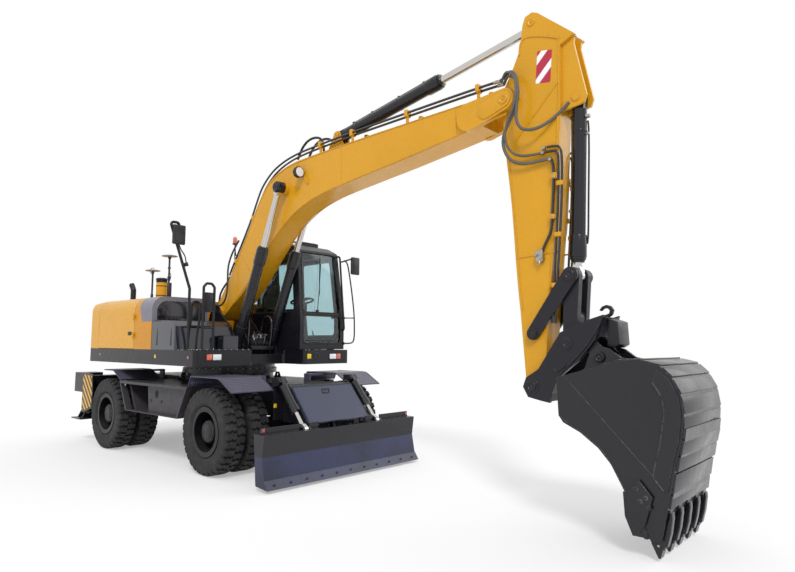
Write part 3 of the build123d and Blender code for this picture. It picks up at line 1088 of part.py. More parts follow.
def coupler_and_bucket():
    """Quick coupler between arm and bucket, and the bucket with its ears, cutters and teeth."""
    tx, tz = ARM_TIP
    kx, kz = COUPLER_PIN
    plate = slab([(tx - 92, tz - 8), (tx - 40, tz - 100), (tx + 90, tz - 126), (tx + 178, tz - 140),
                  (tx + 190, tz - 60),
                  (tx + 260, tz + 80), (tx + 470, tz + 250), (tx + 620, tz + 430), (tx + 690, tz + 610),
                  (tx + 700, tz + 646), (kx + 230, kz + 215), (kx - 60, kz + 100), (tx + 70, tz + 160),
                  (tx - 60, tz + 78)], 146, 186)
    body = both_sides(plate)
    body += pin_y(ARM_TIP, 40, -196, 196)
    body += slab([(tx + 100, tz - 110), (tx + 170, tz - 130), (tx + 185, tz - 60), (tx + 250, tz + 80),
                  (tx + 180, tz + 60)], -150, 150)
    body += slab([(kx + 130, kz - 40), (kx + 300, kz + 60), (kx + 350, kz + 230), (kx + 230, kz + 200)],
                 -150, 150)
    lug = strap((5800, 1600), 60, BUCKET_EAR_PIN, 62, 104, 144)
    body += both_sides(lug - pin_y(BUCKET_EAR_PIN, 40 + SEAT_GAP, 90, 160))
    keep("quick_coupler", body)
    wall = 24
    outer = [(5646, 1330), (5660, 1015), (5700, 960), (5851, 890), (6000, 783), (6100, 670), (6224, 440),
             (6290, 250), (6360, 160), (6470, 150), (6524, 395), (6592, 728), (6641, 914), (6661, 1096),
             (6645, 1239), (6586, 1361), (6503, 1447), (6355, 1488), (6198, 1485), (6034, 1440)]
    inner = [(5646 - 60, 1330 - 10), (5640, 960), (5851, 860), (6000, 750), (6100, 640), (6190, 440),
             (6260, 250), (6340, 120), (6446, 120), (6500, 395), (6568, 728), (6616, 914), (6636, 1096),
             (6622, 1230), (6570, 1345), (6494, 1424), (6352, 1464), (6200, 1460), (6040, 1416),
             (5700, 1310)]
    shell = slab(outer, -BUCKET_HALF_WIDTH, BUCKET_HALF_WIDTH)
    shell -= slab(inner, -BUCKET_HALF_WIDTH + wall, BUCKET_HALF_WIDTH - wall)
    ear = slab([(5646, 1330), (5760, 1400), (5815, 1545), (5890, 1598), (5985, 1570), (6080, 1500),
                (6200, 1480),
                (6034, 1436)], 150, 186)
    shell += both_sides(ear)
    shell += pin_y(BUCKET_EAR_PIN, 40, -200, 200)
    for start, end in (((6536, 455), (6562, 585)), ((6590, 715), (6614, 800)), ((6640, 905), (6652, 990))):
        shell += slab([start, end, (end[0] + 14, end[1] + 4), (start[0] + 14, start[1] - 4)],
                      -BUCKET_HALF_WIDTH + 20, BUCKET_HALF_WIDTH - 20)
    cutter = slab([(6196, 480), (6206, 300), (6262, 165), (6375, 165), (6330, 330), (6262, 500)],
                  BUCKET_HALF_WIDTH - 2, BUCKET_HALF_WIDTH + 16)
    shell += both_sides(cutter)
    for index in range(5):
        y = -BUCKET_HALF_WIDTH + 60 + index * (2 * BUCKET_HALF_WIDTH - 120) / 4
        shank = slab([(6372, 150), (6412, 90), (6478, 90), (6500, 240), (6440, 250)], y - 28, y + 28)
        tooth = slab([(6386, 128), (6436, 26), (6450, 26), (6490, 150), (6470, 175), (6400, 165)],
                     y - 38, y + 38)
        shell += shank + tooth
    keep("bucket", shell)


# ---------------------------------------------------------------- build and export
def build():
    for name, centre_x, side in (("front_left", FRONT_AXLE_X, 1), ("front_right", FRONT_AXLE_X, -1),
                                 ("rear_left", REAR_AXLE_X, 1), ("rear_right", REAR_AXLE_X, -1)):
        wheel_pair(name, centre_x, side)
    keep("axles", front_axle(), rear_axle())
    knuckle("knuckle_left", 1)
    knuckle("knuckle_right", -1)
    steering_rod()
    chassis_frame()
    slew_ring()
    side_boxes()
    fenders()
    toolbox()
    blade_links()
    blade()
    blade_cylinders()
    outrigger_frame()
    outriggers()
    upper_frame()
    engine_housing()
    deck_boxes()
    keep("rails_and_mirrors", handrails(), mirror_mast(), grab_rail())
    exhaust()
    cab()
    cab_interior()
    boom()
    boom_cylinders()
    arm()
    arm_cylinder()
    bucket_cylinder()
    linkage()
    coupler_and_bucket()


build()
os.makedirs("parts", exist_ok=True)
for node, shape in PARTS.items():
    export_step(Pos(-FRAME_SHIFT_X, 0, 0) * shape, f"parts/{node}.step")
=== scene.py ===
"""Finishes and modelled detail of the wheeled excavator, laid out as an add-on and run as a script.

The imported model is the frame: its nodes keep their place and shape and get a finish here, and the
pieces below ride on its bodies. Lengths in the tables are millimetres from the slew axis; at()
turns them into metres of the shared frame, whose origin lies 2 m in front of that axis.
"""
import bpy
from math import atan2, cos, hypot, pi, radians, sin
from mathutils import Matrix, Vector


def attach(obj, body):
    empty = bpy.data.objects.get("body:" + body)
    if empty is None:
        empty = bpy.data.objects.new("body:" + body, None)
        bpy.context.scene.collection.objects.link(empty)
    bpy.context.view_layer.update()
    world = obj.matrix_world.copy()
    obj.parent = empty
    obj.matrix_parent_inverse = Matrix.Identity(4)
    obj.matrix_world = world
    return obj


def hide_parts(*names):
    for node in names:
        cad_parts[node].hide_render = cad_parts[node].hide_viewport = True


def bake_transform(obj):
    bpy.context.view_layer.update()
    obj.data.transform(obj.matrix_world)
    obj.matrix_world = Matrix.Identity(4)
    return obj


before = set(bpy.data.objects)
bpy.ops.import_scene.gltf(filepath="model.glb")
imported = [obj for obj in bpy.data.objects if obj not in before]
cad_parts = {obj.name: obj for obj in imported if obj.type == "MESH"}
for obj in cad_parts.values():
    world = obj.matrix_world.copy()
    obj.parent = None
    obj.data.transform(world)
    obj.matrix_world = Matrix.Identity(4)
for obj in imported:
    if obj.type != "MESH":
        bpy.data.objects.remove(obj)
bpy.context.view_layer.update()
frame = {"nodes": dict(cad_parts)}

bl_info = {
    "name": "Wheeled excavator finish",
    "version": (1, 0, 0),
    "blender": (4, 5, 0),
    "location": "3D View > Sidebar > Excavator",
    "description": "Finishes the frame of a wheeled excavator and adds its modelled detail",
    "category": "Object",
}

MM = 0.001
SLEW_AXIS = Vector((-2.0, 0.0, 0.0))
FRONT_AXLE_X, REAR_AXLE_X, AXLE_Z = 1375, -1425, 525
TYRE_RADIUS, TYRE_MIDDLES = 525, (771, 1111)
DECK_Z, HOUSING_FRONT_X, HOUSING_SIDE_Y, TAIL_RADIUS = 1503, -45, 1250, 2401
CAB_MIDDLE_Y = 809
REFLECTOR_Z = 1412
LUG_PITCH, BLADE_FOLD_Z, THREAD_MM = 0.06, 0.36, 2.4
SIDES = ((1, "left"), (-1, "right"))
UPPER = "upper_structure"
RIGHT_DECK_X, LEFT_DECK_X = 1114, 1286
CAMERA_PLACE, CAMERA_TURN, CAMERA_LENS = (8104.64, -5262.68, 1613.07), (2.3004, 0.0933,
                                                                        0.0055), 27.52


# ---------------------------------------------------------------- places and modelling steps
def at(x, y, z):
    """Point of the shared frame in metres, from millimetres about the slew axis."""
    return SLEW_AXIS + Vector((x, y, z)) * MM


def deselect():
    """Leaves edit mode and selects nothing."""
    if bpy.context.mode != "OBJECT":
        bpy.ops.object.mode_set(mode="OBJECT")
    bpy.ops.object.select_all(action="DESELECT")


def only(*pieces):
    """Selects these pieces alone; the first is active."""
    deselect()
    for piece in pieces:
        piece.select_set(True)
    bpy.context.view_layer.objects.active = pieces[0]
    return pieces[0]


def seat(piece):
    """Writes a piece's place, turn and scale into its mesh."""
    only(piece)
    bpy.ops.object.transform_apply(location=True, rotation=True, scale=True)
    return piece


def modify(piece, kind, **settings):
    """Adds a modifier with its settings and applies it."""
    only(piece)
    modifier = piece.modifiers.new(kind, kind)
    for name, value in settings.items():
        setattr(modifier, name, value)
    bpy.ops.object.modifier_apply(modifier=modifier.name)
    return piece


def round_edges(piece, edge, segments=2):
    """Rounds the sharp edges of a piece by so many millimetres."""
    return modify(piece, "BEVEL", width=edge * MM, segments=segments, limit_method="ANGLE",
                  angle_limit=radians(35), use_clamp_overlap=True)


def block(low, high, edge=3, segments=2):
    """Block between two corners with rounded edges."""
    low, high = at(*low), at(*high)
    deselect()
    bpy.ops.mesh.primitive_cube_add(size=1, location=(low + high) / 2)
    piece = bpy.context.object
    piece.scale = [abs(h - l) for l, h in zip(low, high)]
    return round_edges(seat(piece), edge, segments)


def rod(start, end, radius, sides=20, edge=0, end_radius=None):
    """Round bar or tapered cone between two points."""
    start, end = at(*start), at(*end)
    deselect()
    bpy.ops.mesh.primitive_cone_add(vertices=sides, radius1=radius * MM,
                                    radius2=(radius if end_radius is None else end_radius) * MM,
                                    depth=(end - start).length, location=(start + end) / 2,
                                    rotation=(end - start).to_track_quat("Z", "Y").to_euler())
    piece = seat(bpy.context.object)
    return round_edges(piece, edge) if edge else piece


def plate(outline, axis, low, high, edge=2, segments=2):
    """Flat plate: an outline in the two directions left by its axis, drawn out from low to high."""
    deselect()
    bpy.ops.mesh.primitive_circle_add(vertices=len(outline), fill_type="NGON")
    piece = bpy.context.object
    for vertex, (a, b) in zip(piece.data.vertices, outline):
        point = {"X": (low, a, b), "Y": (a, low, b), "Z": (a, b, low)}[axis]
        vertex.co = at(*point)
    bpy.ops.object.mode_set(mode="EDIT")
    bpy.ops.mesh.select_all(action="SELECT")
    reach = Vector([(high - low) * MM if name == axis else 0 for name in "XYZ"])
    bpy.ops.mesh.extrude_region_move(TRANSFORM_OT_translate={"value": reach})
    bpy.ops.mesh.select_all(action="SELECT")
    bpy.ops.mesh.normals_make_consistent(inside=False)
    bpy.ops.object.mode_set(mode="OBJECT")
    return round_edges(piece, edge, segments) if edge else piece


def spun(profile, centre, axis="Y", steps=48):
    """Turned piece: a profile of (along the axis, radius) pairs spun a full turn about its axis."""
    deselect()
    bpy.ops.mesh.primitive_circle_add(vertices=len(profile))
    piece = bpy.context.object
    middle = at(*centre)
    lift = {"X": (0, 1, 0), "Y": (0, 0, 1), "Z": (1, 0, 0)}[axis]
    line = Vector([float(name == axis) for name in "XYZ"])
    for vertex, (along, radius) in zip(piece.data.vertices, profile):
        vertex.co = middle + line * along * MM + Vector(lift) * radius * MM
    bpy.ops.object.mode_set(mode="EDIT")
    bpy.ops.mesh.select_all(action="SELECT")
    bpy.ops.mesh.spin(steps=steps, angle=2 * pi, center=middle, axis=line, dupli=False,
                      use_auto_merge=True)
    bpy.ops.mesh.select_all(action="SELECT")
    bpy.ops.mesh.remove_doubles(threshold=0.00005)
    bpy.ops.mesh.normals_make_consistent(inside=False)
    bpy.ops.object.mode_set(mode="OBJECT")
    return piece


def tube(points, radius, order=3, sides=3, smooth=6):
    """Pipe or hose along a smooth line whose control points are given."""
    deselect()
    bpy.ops.curve.primitive_nurbs_path_add(location=(0, 0, 0))
    piece = bpy.context.object
    curve = piece.data
    curve.splines.clear()
    spline = curve.splines.new("NURBS")
    spline.points.add(len(points) - 1)
    for knot, point in zip(spline.points, points):
        knot.co = (*at(*point), 1)
    spline.order_u = order
    spline.use_endpoint_u = True
    curve.resolution_u = smooth
    curve.bevel_depth = radius * MM
    curve.bevel_resolution = sides
    curve.use_fill_caps = True
    bpy.ops.object.convert(target="MESH")
    return bpy.context.object


def bead(points, radius):
    """Bar with sharp corners along a closed line."""
    return tube(points + points[:1], radius, 2, 2)


def copy_of(piece, turn=None):
    """Copy with a mesh of its own, moved by a matrix."""
    twin = piece.copy()
    twin.data = piece.data.copy()
    bpy.context.collection.objects.link(twin)
    if turn is not None:
        twin.data.transform(turn)
        if turn.determinant() < 0:
            twin.data.flip_normals()
    return twin


def shifted(piece, *steps):
    """Joined copies of a piece, one moved by each (x, y, z) step in millimetres, itself removed."""
    twins = [copy_of(piece, Matrix.Translation(Vector(step) * MM)) for step in steps]
    bpy.data.objects.remove(piece)
    return join(*twins)


def around(piece, centre, axis, count, start=0.0):
    """Joined copies of a piece spaced evenly about an axis through a centre."""
    middle = at(*centre)
    twins = []
    for index in range(count):
        turn = Matrix.Rotation(radians(start) + 2 * pi * index / count, 4, axis)
        twins.append(copy_of(piece,
                             Matrix.Translation(middle) @ turn @ Matrix.Translation(-middle)))
    bpy.data.objects.remove(piece)
    return join(*twins)


MIRROR_Y = Matrix.Diagonal((1, -1, 1, 1))


def both(piece):
    """A piece joined with its mirror image on the other side of the machine."""
    return join(piece, copy_of(piece, MIRROR_Y))


def join(*pieces):
    """One piece from several."""
    if len(pieces) > 1:
        only(*pieces)
        bpy.ops.object.join()
    return pieces[0]


def dress(piece, name, material, smooth=35):
    """Names a finished piece, shades it and gives it its material."""
    piece.name = piece.data.name = name
    seat(piece)
    if smooth:
        bpy.ops.object.shade_smooth_by_angle(angle=radians(smooth))
    piece.data.materials.clear()
    piece.data.materials.append(bpy.data.materials[material])
    return piece


def finish(pieces, name, body, material, smooth=35):
    """Dresses a piece, or a list of pieces joined, and lets it ride on its body."""
    piece = join(*pieces) if isinstance(pieces, list) else pieces
    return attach(dress(piece, name, material, smooth), body)


def finish_both(pieces, name, body, material):
    """Finishes a list of pieces together with its mirror image on the machine's other side."""
    return finish(both(join(*pieces)), name, body, material)


# ---------------------------------------------------------------- finishes
def linear(colour):
    """Linear RGBA from an sRGB hex string."""
    parts = [int(colour[i:i + 2], 16) / 255 for i in (1, 3, 5)]
    return (*[c / 12.92 if c <= 0.04045 else ((c + 0.055) / 1.055) ** 2.4 for c in parts], 1.0)


def fill(tree, node, inputs):
    """Fills or links a node's inputs."""
    for name, value in inputs.items():
        if isinstance(value, bpy.types.NodeSocket):
            tree.links.new(value, node.inputs[name])
        else:
            node.inputs[name].default_value = value


def put(tree, kind, inputs=None, **settings):
    """Adds a node, sets its properties, and fills or links its inputs; returns the node."""
    node = tree.nodes.new(kind)
    for name, value in settings.items():
        setattr(node, name, value)
    fill(tree, node, inputs or {})
    return node


def begin(name):
    """Empty node material with its shader; returns (tree, shader, object coordinates)."""
    material = bpy.data.materials.new(name)
    material.use_nodes = True
    tree = material.node_tree
    shader = tree.nodes["Principled BSDF"]
    return tree, shader, put(tree, "ShaderNodeTexCoord").outputs["Object"]


def ramp(tree, value, low, high, start=0.0, end=1.0):
    """Smooth step of a value between two limits."""
    limits = {"Value": value, "From Min": low, "From Max": high, "To Min": start, "To Max": end}
    return put(tree, "ShaderNodeMapRange", limits,
               interpolation_type="SMOOTHSTEP").outputs["Result"]


def noise(tree, place, size_mm, detail=4.0, rough=0.55, squeeze=None):
    """Noise whose lumps are about size_mm across; squeeze stretches it along the frame's axes."""
    if squeeze:
        place = put(tree, "ShaderNodeMapping",
                    {"Vector": place, "Scale": squeeze}).outputs["Vector"]
    return put(tree, "ShaderNodeTexNoise", {"Vector": place, "Scale": 1000 / size_mm,
                                            "Detail": detail, "Roughness": rough}).outputs["Fac"]


def mixed(tree, factor, first, second):
    """Colour between two colours."""
    return put(tree, "ShaderNodeMix", {"Factor": factor, 6: first, 7: second},
               data_type="RGBA").outputs[2]


def maths(tree, kind, first, second=0.0, clamp=True):
    """One sum of two values."""
    return put(tree, "ShaderNodeMath", {0: first, 1: second}, operation=kind,
               use_clamp=clamp).outputs[0]


def axes(tree, vector):
    """The X, Y and Z outputs of a vector."""
    return put(tree, "ShaderNodeSeparateXYZ", {"Vector": vector}).outputs


def relief(tree, height, strength, distance, normal=None):
    """Normal of a surface raised by a height whose full value stands for so many metres."""
    inputs = {"Height": height, "Strength": strength, "Distance": distance}
    if normal is not None:
        inputs["Normal"] = normal
    return put(tree, "ShaderNodeBump", inputs).outputs["Normal"]


def edge_wear(tree, reach_mm):
    """1 on worn outer edges, 0 on flats, and the rounded normal whose lean from the face's own
    normal tells them apart."""
    rounded = put(tree, "ShaderNodeBevel", {"Radius": reach_mm * MM}, samples=4).outputs["Normal"]
    own = put(tree, "ShaderNodeNewGeometry").outputs["Normal"]
    lean = put(tree, "ShaderNodeVectorMath", {0: rounded, 1: own},
               operation="DOT_PRODUCT").outputs["Value"]
    return ramp(tree, lean, 0.98, 0.84), rounded


def settled_dust(tree, place, amount):
    """Film of dust on faces that look up, broken by noise."""
    up = axes(tree, put(tree, "ShaderNodeNewGeometry").outputs["Normal"])["Z"]
    cloud = noise(tree, place, 260, 6, 0.65)
    return maths(tree, "MULTIPLY", maths(tree, "MULTIPLY", ramp(tree, up, 0.1, 1.0), cloud), amount)


def enamel(name, colour, roughness=0.32, coat=0.5, dust=0.35, peel=0.05, wear=0.35, worn="#6b6a68",
           tone=0.06, sheen=0.28, scheme_and_painted_reflection=None, lugs=False):
    """Sprayed two-pack enamel on steel: even gloss with orange peel of about 3 mm, faint shifts of
    tone half a metre across, dust on its upper faces and lighter rubbed edges."""
    tree, shader, place = begin(name)
    base = linear(colour)
    # The scheme recolours the base: two-tone paint on the housing, heat colour on the exhaust, a
    # painted sky reflection on the blade.
    if scheme_and_painted_reflection:
        base = scheme_and_painted_reflection(tree, place, base)
    deep = mixed(tree, tone, base, linear("#101014"))
    body = mixed(tree, ramp(tree, noise(tree, place, 520, 3), 0.35, 0.7), base, deep)
    rubbed, normal = edge_wear(tree, 5)
    chips = maths(tree, "MULTIPLY", rubbed, ramp(tree, noise(tree, place, 46, 6, 0.7), 0.4, 0.62))
    body = mixed(tree, maths(tree, "MULTIPLY", chips, wear), body, linear(worn))
    film = settled_dust(tree, place, dust)
    body = mixed(tree, film, body, linear("#8d867a"))
    if lugs:
        raised = chequer_lugs(tree, place)
        body = mixed(tree, maths(tree, "MULTIPLY", raised, 0.55), body, linear(worn))
    gloss = ramp(tree, noise(tree, place, 90, 5, 0.6), 0.3, 0.75, roughness * 0.85, roughness * 1.2)
    rough = maths(tree, "ADD", gloss, maths(tree, "MULTIPLY", film, 0.8))
    skin = noise(tree, place, 3.2, 2, 0.5)
    if lugs:
        normal = relief(tree, raised, 1.0, 0.006, normal)
    fill(tree, shader, {"Base Color": body, "Roughness": rough,
                        "Normal": relief(tree, skin, peel, 0.0006, normal),
                        "Specular IOR Level": sheen, "Coat Weight": coat, "Coat Roughness": 0.12})


def chequer_lugs(tree, place):
    """Raised lozenges rolled into chequer plate, one every LUG_PITCH along X."""
    parts = axes(tree, place)
    waves = []
    for kind in ("ADD", "SUBTRACT"):
        line = maths(tree, kind, parts["X"], parts["Y"], clamp=False)
        angle = maths(tree, "MULTIPLY", line, 2 * pi / LUG_PITCH, clamp=False)
        waves.append(maths(tree, "SINE", angle, clamp=False))
    return ramp(tree, maths(tree, "MULTIPLY", *waves, clamp=False), 0.35, 0.6)


def housing_scheme(tree, place, base):
    """Grey front part of the engine housing, ahead of a line that leans forward to the deck."""
    parts = axes(tree, place)
    lean = maths(tree, "MULTIPLY", parts["Z"], 0.35, clamp=False)
    front = ramp(tree, maths(tree, "ADD", parts["X"], lean, clamp=False), -1.672, -1.668)
    above = ramp(tree, parts["Z"], 1.888, 1.892)
    return mixed(tree, maths(tree, "MULTIPLY", front, above), base, linear("#77757f"))


def blade_painted_sky_reflection(tree, place, base):
    """Painted sky reflection: bluer lower half of the mouldboard, below its upper fold."""
    height = axes(tree, place)["Z"]
    cloud = ramp(tree, noise(tree, place, 700, 3, 0.5), 0.38, 0.6)
    below = ramp(tree, height, BLADE_FOLD_Z + 0.015, BLADE_FOLD_Z)
    share = maths(tree, "MULTIPLY", below,
                  maths(tree, "ADD", maths(tree, "MULTIPLY", cloud, 0.5), 0.4))
    # Painted sky reflection: this blue is mixed into the lower half in uneven patches; it is not a
    # paint colour of the blade.
    return mixed(tree, share, base, linear("#2a3050"))


def intake_scheme(tree, place, base):
    """The pre-cleaner's bowl stays yellow; the exhaust behind it is heat-blackened steel."""
    return mixed(tree, ramp(tree, axes(tree, place)["X"], -3.2, -3.1), linear("#1c1b1e"), base)


def rubber(name, colour, grain_mm=6, dust=0.5, roughness=0.82):
    """Carbon-black vulcanised rubber: matt, a little grey where dust is ground in."""
    tree, shader, place = begin(name)
    cloud = ramp(tree, noise(tree, place, 130, 6, 0.65), 0.35, 0.75, 0.0, dust)
    fill(tree, shader, {"Base Color": mixed(tree, cloud, linear(colour), linear("#6f6962")),
                        "Roughness": roughness,
                        "Normal": relief(tree, noise(tree, place, grain_mm, 4), 0.25, 0.0008)})


def hard_chrome(name):
    """Hard-chromed piston rod: mirror-like with the fine turning of its grinding, 4 mm apart."""
    tree, shader, place = begin(name)
    film = ramp(tree, noise(tree, place, 40, 5), 0.3, 0.8, 0.1, 0.24)
    turning = noise(tree, place, 4, 2, 0.5, (0.2, 1.0, 0.2))
    fill(tree, shader, {"Base Color": linear("#c9c6c2"), "Metallic": 1.0, "Roughness": film,
                        "Normal": relief(tree, turning, 0.04, 0.0003)})


def plain_metal(name, colour, roughness, grain_mm=12, strength=0.12):
    """Zinc-plated or polished metal with a soft uneven sheen."""
    tree, shader, place = begin(name)
    shade = ramp(tree, noise(tree, place, grain_mm * 5, 5), 0.3, 0.75, 0.0, 0.3)
    body = mixed(tree, shade, linear(colour), linear("#45423f"))
    sheen = ramp(tree, noise(tree, place, grain_mm, 4), 0.3, 0.7, roughness * 0.8, roughness * 1.25)
    grain = noise(tree, place, grain_mm, 3)
    fill(tree, shader, {"Base Color": body, "Metallic": 1.0, "Roughness": sheen,
                        "Normal": relief(tree, grain, strength, 0.0006)})


def moulded(name, colour, roughness=0.55, grain_mm=2.5, strength=0.2, coat=0.0):
    """Injection-moulded plastic with a spark-eroded grain."""
    tree, shader, place = begin(name)
    shade = ramp(tree, noise(tree, place, 180, 4), 0.3, 0.8, 0.0, 0.25)
    body = mixed(tree, shade, linear(colour), linear("#5a5856"))
    grain = noise(tree, place, grain_mm, 2)
    fill(tree, shader, {"Base Color": body, "Roughness": roughness, "Coat Weight": coat,
                        "Normal": relief(tree, grain, strength, 0.0004)})


def tinted_glass(name, colour):
    """Tempered safety glass with a green tint; light reaches the cab through it."""
    tree, shader, place = begin(name)
    smear = ramp(tree, noise(tree, place, 150, 5), 0.45, 0.8, 0.015, 0.065)
    fill(tree, shader, {"Roughness": smear, "Base Color": linear(colour),
                        "Transmission Weight": 1.0, "IOR": 1.5})


def lens(name, colour):
    """Moulded acrylic lamp lens with its ribs 9 mm apart; the ribs carry painted glints, a little
    lighter towards white.
    """
    tree, shader, place = begin(name)
    ribs = put(tree, "ShaderNodeTexWave", {"Vector": place, "Scale": 1000 / 9 / 6.28},
               wave_type="BANDS", bands_direction="Y").outputs["Fac"]
    # Painted glints: the ribs are mixed up to a tenth towards white.
    body = mixed(tree, maths(tree, "MULTIPLY", ribs, 0.1), linear(colour), linear("#ffffff"))
    fill(tree, shader, {"Base Color": body, "Roughness": 0.12, "Coat Weight": 1.0,
                        "Normal": relief(tree, ribs, 0.35, 0.001)})


def striped_film(name, first, second, width_mm, slope=1.0, shift=0.0, share=0.25):
    """Retro-reflective sheeting in diagonal bands; glass beads give a faint 2 mm sparkle."""
    tree, shader, place = begin(name)
    parts = axes(tree, place)
    across = maths(tree, "MULTIPLY", parts["X"], slope, clamp=False)
    line = maths(tree, "ADD", across, parts["Z"], clamp=False)
    turns = maths(tree, "MULTIPLY", line, 500 / width_mm, clamp=False)
    phase = maths(tree, "ADD", turns, shift, clamp=False)
    band = maths(tree, "PINGPONG", phase, 0.5, clamp=False)
    body = mixed(tree, ramp(tree, band, share - 0.01, share + 0.01), linear(first), linear(second))
    fill(tree, shader, {"Base Color": body, "Roughness": 0.35,
                        "Normal": relief(tree, noise(tree, place, 2, 1), 0.1, 0.0003)})


def woven(name, colour):
    """Flat-woven seat cloth: crossing threads, drawn coarser than the real 1 mm so they show."""
    tree, shader, place = begin(name)
    warp, weft = [put(tree, "ShaderNodeTexWave",
                      {"Vector": place, "Scale": 1000 / THREAD_MM / 6.28},
                      bands_direction=way).outputs["Fac"] for way in ("Y", "DIAGONAL")]
    weave = maths(tree, "MULTIPLY", warp, weft)
    body = mixed(tree, maths(tree, "MULTIPLY", weave, 0.5), linear(colour), linear("#6d7078"))
    fill(tree, shader, {"Base Color": body, "Roughness": 0.85, "Sheen Weight": 0.3,
                        "Normal": relief(tree, weave, 0.3, 0.0008)})


PAINT = "Two_pack_enamel_orange_yellow"
HOUSING = "Two_pack_enamel_housing"
DARK = "Satin_enamel_blue_black"
GREY = "Satin_enamel_slate_grey"
CYLINDER = "Satin_enamel_cylinder_black"
BLADE = "Gloss_enamel_blade_plate"
BUCKET = "Gloss_enamel_bucket_plate"
GEAR = "Worn_enamel_charcoal"
TYRE = "Vulcanised_rubber_tread"
HOSE = "Braided_hose_rubber"
SEAL = "Extruded_rubber_seal"
RIM = "Satin_enamel_rim_black"
CHROME = "Hard_chrome_piston_rod"
ZINC = "Zinc_plated_steel"
PLASTIC = "Moulded_polypropylene_black"
TRIM = "Moulded_ABS_cab_trim"
GLASS = "Tempered_glass_green_tint"
MIRROR = "Silvered_mirror_glass"
CLEAR = "Acrylic_lens_clear"
AMBER = "Acrylic_lens_amber"
RED = "Acrylic_lens_red"
YELLOW_FILM = "Reflective_film_yellow"
ARM_FILM = "Reflective_film_red_white"
GUARD_FILM = "Reflective_film_yellow_black"
CLOTH = "Woven_seat_cloth"
INTAKE = "Enamel_intake_and_exhaust"
HUB = "Cast_hub_enamel_charcoal"
PIPE = "Drawn_steel_pipe_black_enamel"
INLET = "Perforated_inlet_panel_dark"
HOOD_GREY = "Two_pack_enamel_hood_grey"
DISH = "Moulded_aerial_radome"
GLASS_BLACK = "Monitor_glass_black"
CHEQUER = "Chequer_plate_slate_grey"
SLATE = "Satin_enamel_side_box_slate"
TANK = "Gloss_enamel_tank_navy"
SLEEVE = "Spiral_guard_hose_sleeve"


def make_finishes(settings):
    """Makes each material once."""
    paint, frame_colour, dust = hexed(settings.paint), hexed(settings.frame), settings.dust
    enamel(PAINT, paint, roughness=0.3, coat=0.22, dust=dust * 0.6)
    # The housing enamel is the body's yellow with painted shade; its grey front part is real
    # two-tone paint.
    enamel(HOUSING, hexed(settings.housing), roughness=0.28, coat=0.12, dust=dust * 0.5, sheen=0.2,
           scheme_and_painted_reflection=housing_scheme)
    enamel(INTAKE, paint, roughness=0.4, coat=0.1, dust=dust, scheme_and_painted_reflection=intake_scheme)
    enamel(DARK, frame_colour, roughness=0.3, coat=0.1, dust=dust, wear=0.4, worn="#4d4b50")
    enamel(GREY, "#353a50", roughness=0.34, coat=0.12, dust=dust, wear=0.4, worn="#7b7c88")
    enamel(SLATE, "#38353a", roughness=0.42, coat=0.05, dust=dust, wear=0.5, worn="#85838a")
    enamel(TANK, "#121524", roughness=0.16, coat=0.7, dust=dust * 0.4, peel=0.03, sheen=0.5)
    enamel(CYLINDER, "#14151b", roughness=0.26, coat=0.35, dust=dust * 0.5)
    enamel(GEAR, "#1d1c22", roughness=0.38, coat=0.1, dust=dust * 0.8, wear=0.6, worn="#6f6c70")
    enamel(RIM, "#101013", roughness=0.38, coat=0.1, dust=dust)
    # The blade's lower half is painted bluer below the fold: a painted sky reflection.
    enamel(BLADE, "#1b1a20", roughness=0.3, coat=0.25, dust=dust, wear=0.5, worn="#6d6c74",
           scheme_and_painted_reflection=blade_painted_sky_reflection)
    enamel(BUCKET, "#1c1b21", roughness=0.3, coat=0.3, dust=dust, wear=0.8, worn="#7d7a80",
           tone=0.3)
    rubber(TYRE, "#19191c", 7, dust * 1.3)
    rubber(HOSE, "#1d1e21", 3, 0.2, 0.6)
    rubber(SLEEVE, "#56544f", 3, 0.3, 0.55)
    rubber(SEAL, "#121214", 3, 0.2, 0.65)
    hard_chrome(CHROME)
    plain_metal(ZINC, "#b3b0a8", 0.34)
    moulded(PLASTIC, "#161619")
    moulded(TRIM, "#2b2c31", 0.5, 3)
    tinted_glass(GLASS, "#c9dfe2")
    plain_metal(MIRROR, "#c4ccd2", 0.05, 60, 0.0)
    lens(CLEAR, "#dfe3e8")
    lens(AMBER, "#d4480a")
    lens(RED, "#8e0f16")
    striped_film(YELLOW_FILM, "#e3c21a", "#e3c21a", 50)
    striped_film(ARM_FILM, "#f2f1f0", "#b3233f", 105, slope=-1.0, shift=0.048, share=0.19)
    striped_film(GUARD_FILM, "#d9a315", "#17171a", 62)
    woven(CLOTH, "#2b2d33")
    enamel(HUB, "#1d1d21", roughness=0.4, coat=0.1, dust=dust, wear=0.5, worn="#5d5c60")
    enamel(PIPE, "#141519", roughness=0.22, coat=0.5, dust=dust * 0.5, peel=0.02, sheen=0.5)
    enamel(INLET, "#15161f", roughness=0.18, coat=0.7, dust=dust * 0.4, peel=0.03, sheen=0.5)
    enamel(HOOD_GREY, "#77757f", roughness=0.26, coat=0.4, dust=dust * 0.5)
    moulded(DISH, "#8b8d92", 0.45, 4, 0.1)
    moulded(GLASS_BLACK, "#0d0f12", 0.08, 40, 0.0, 1.0)
    enamel(CHEQUER, "#47475a", roughness=0.34, coat=0.2, dust=dust, wear=0.6, worn="#8d8c98",
           lugs=True)


def hexed(colour):
    """sRGB hex string of a colour property, whose numbers are sRGB as shown."""
    return "#" + "".join(f"{round(c * 255):02x}" for c in colour)


def clothe(node, *names):
    """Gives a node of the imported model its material."""
    piece = frame["nodes"][node]
    piece.data.materials.clear()
    for name in names:
        piece.data.materials.append(bpy.data.materials[name])


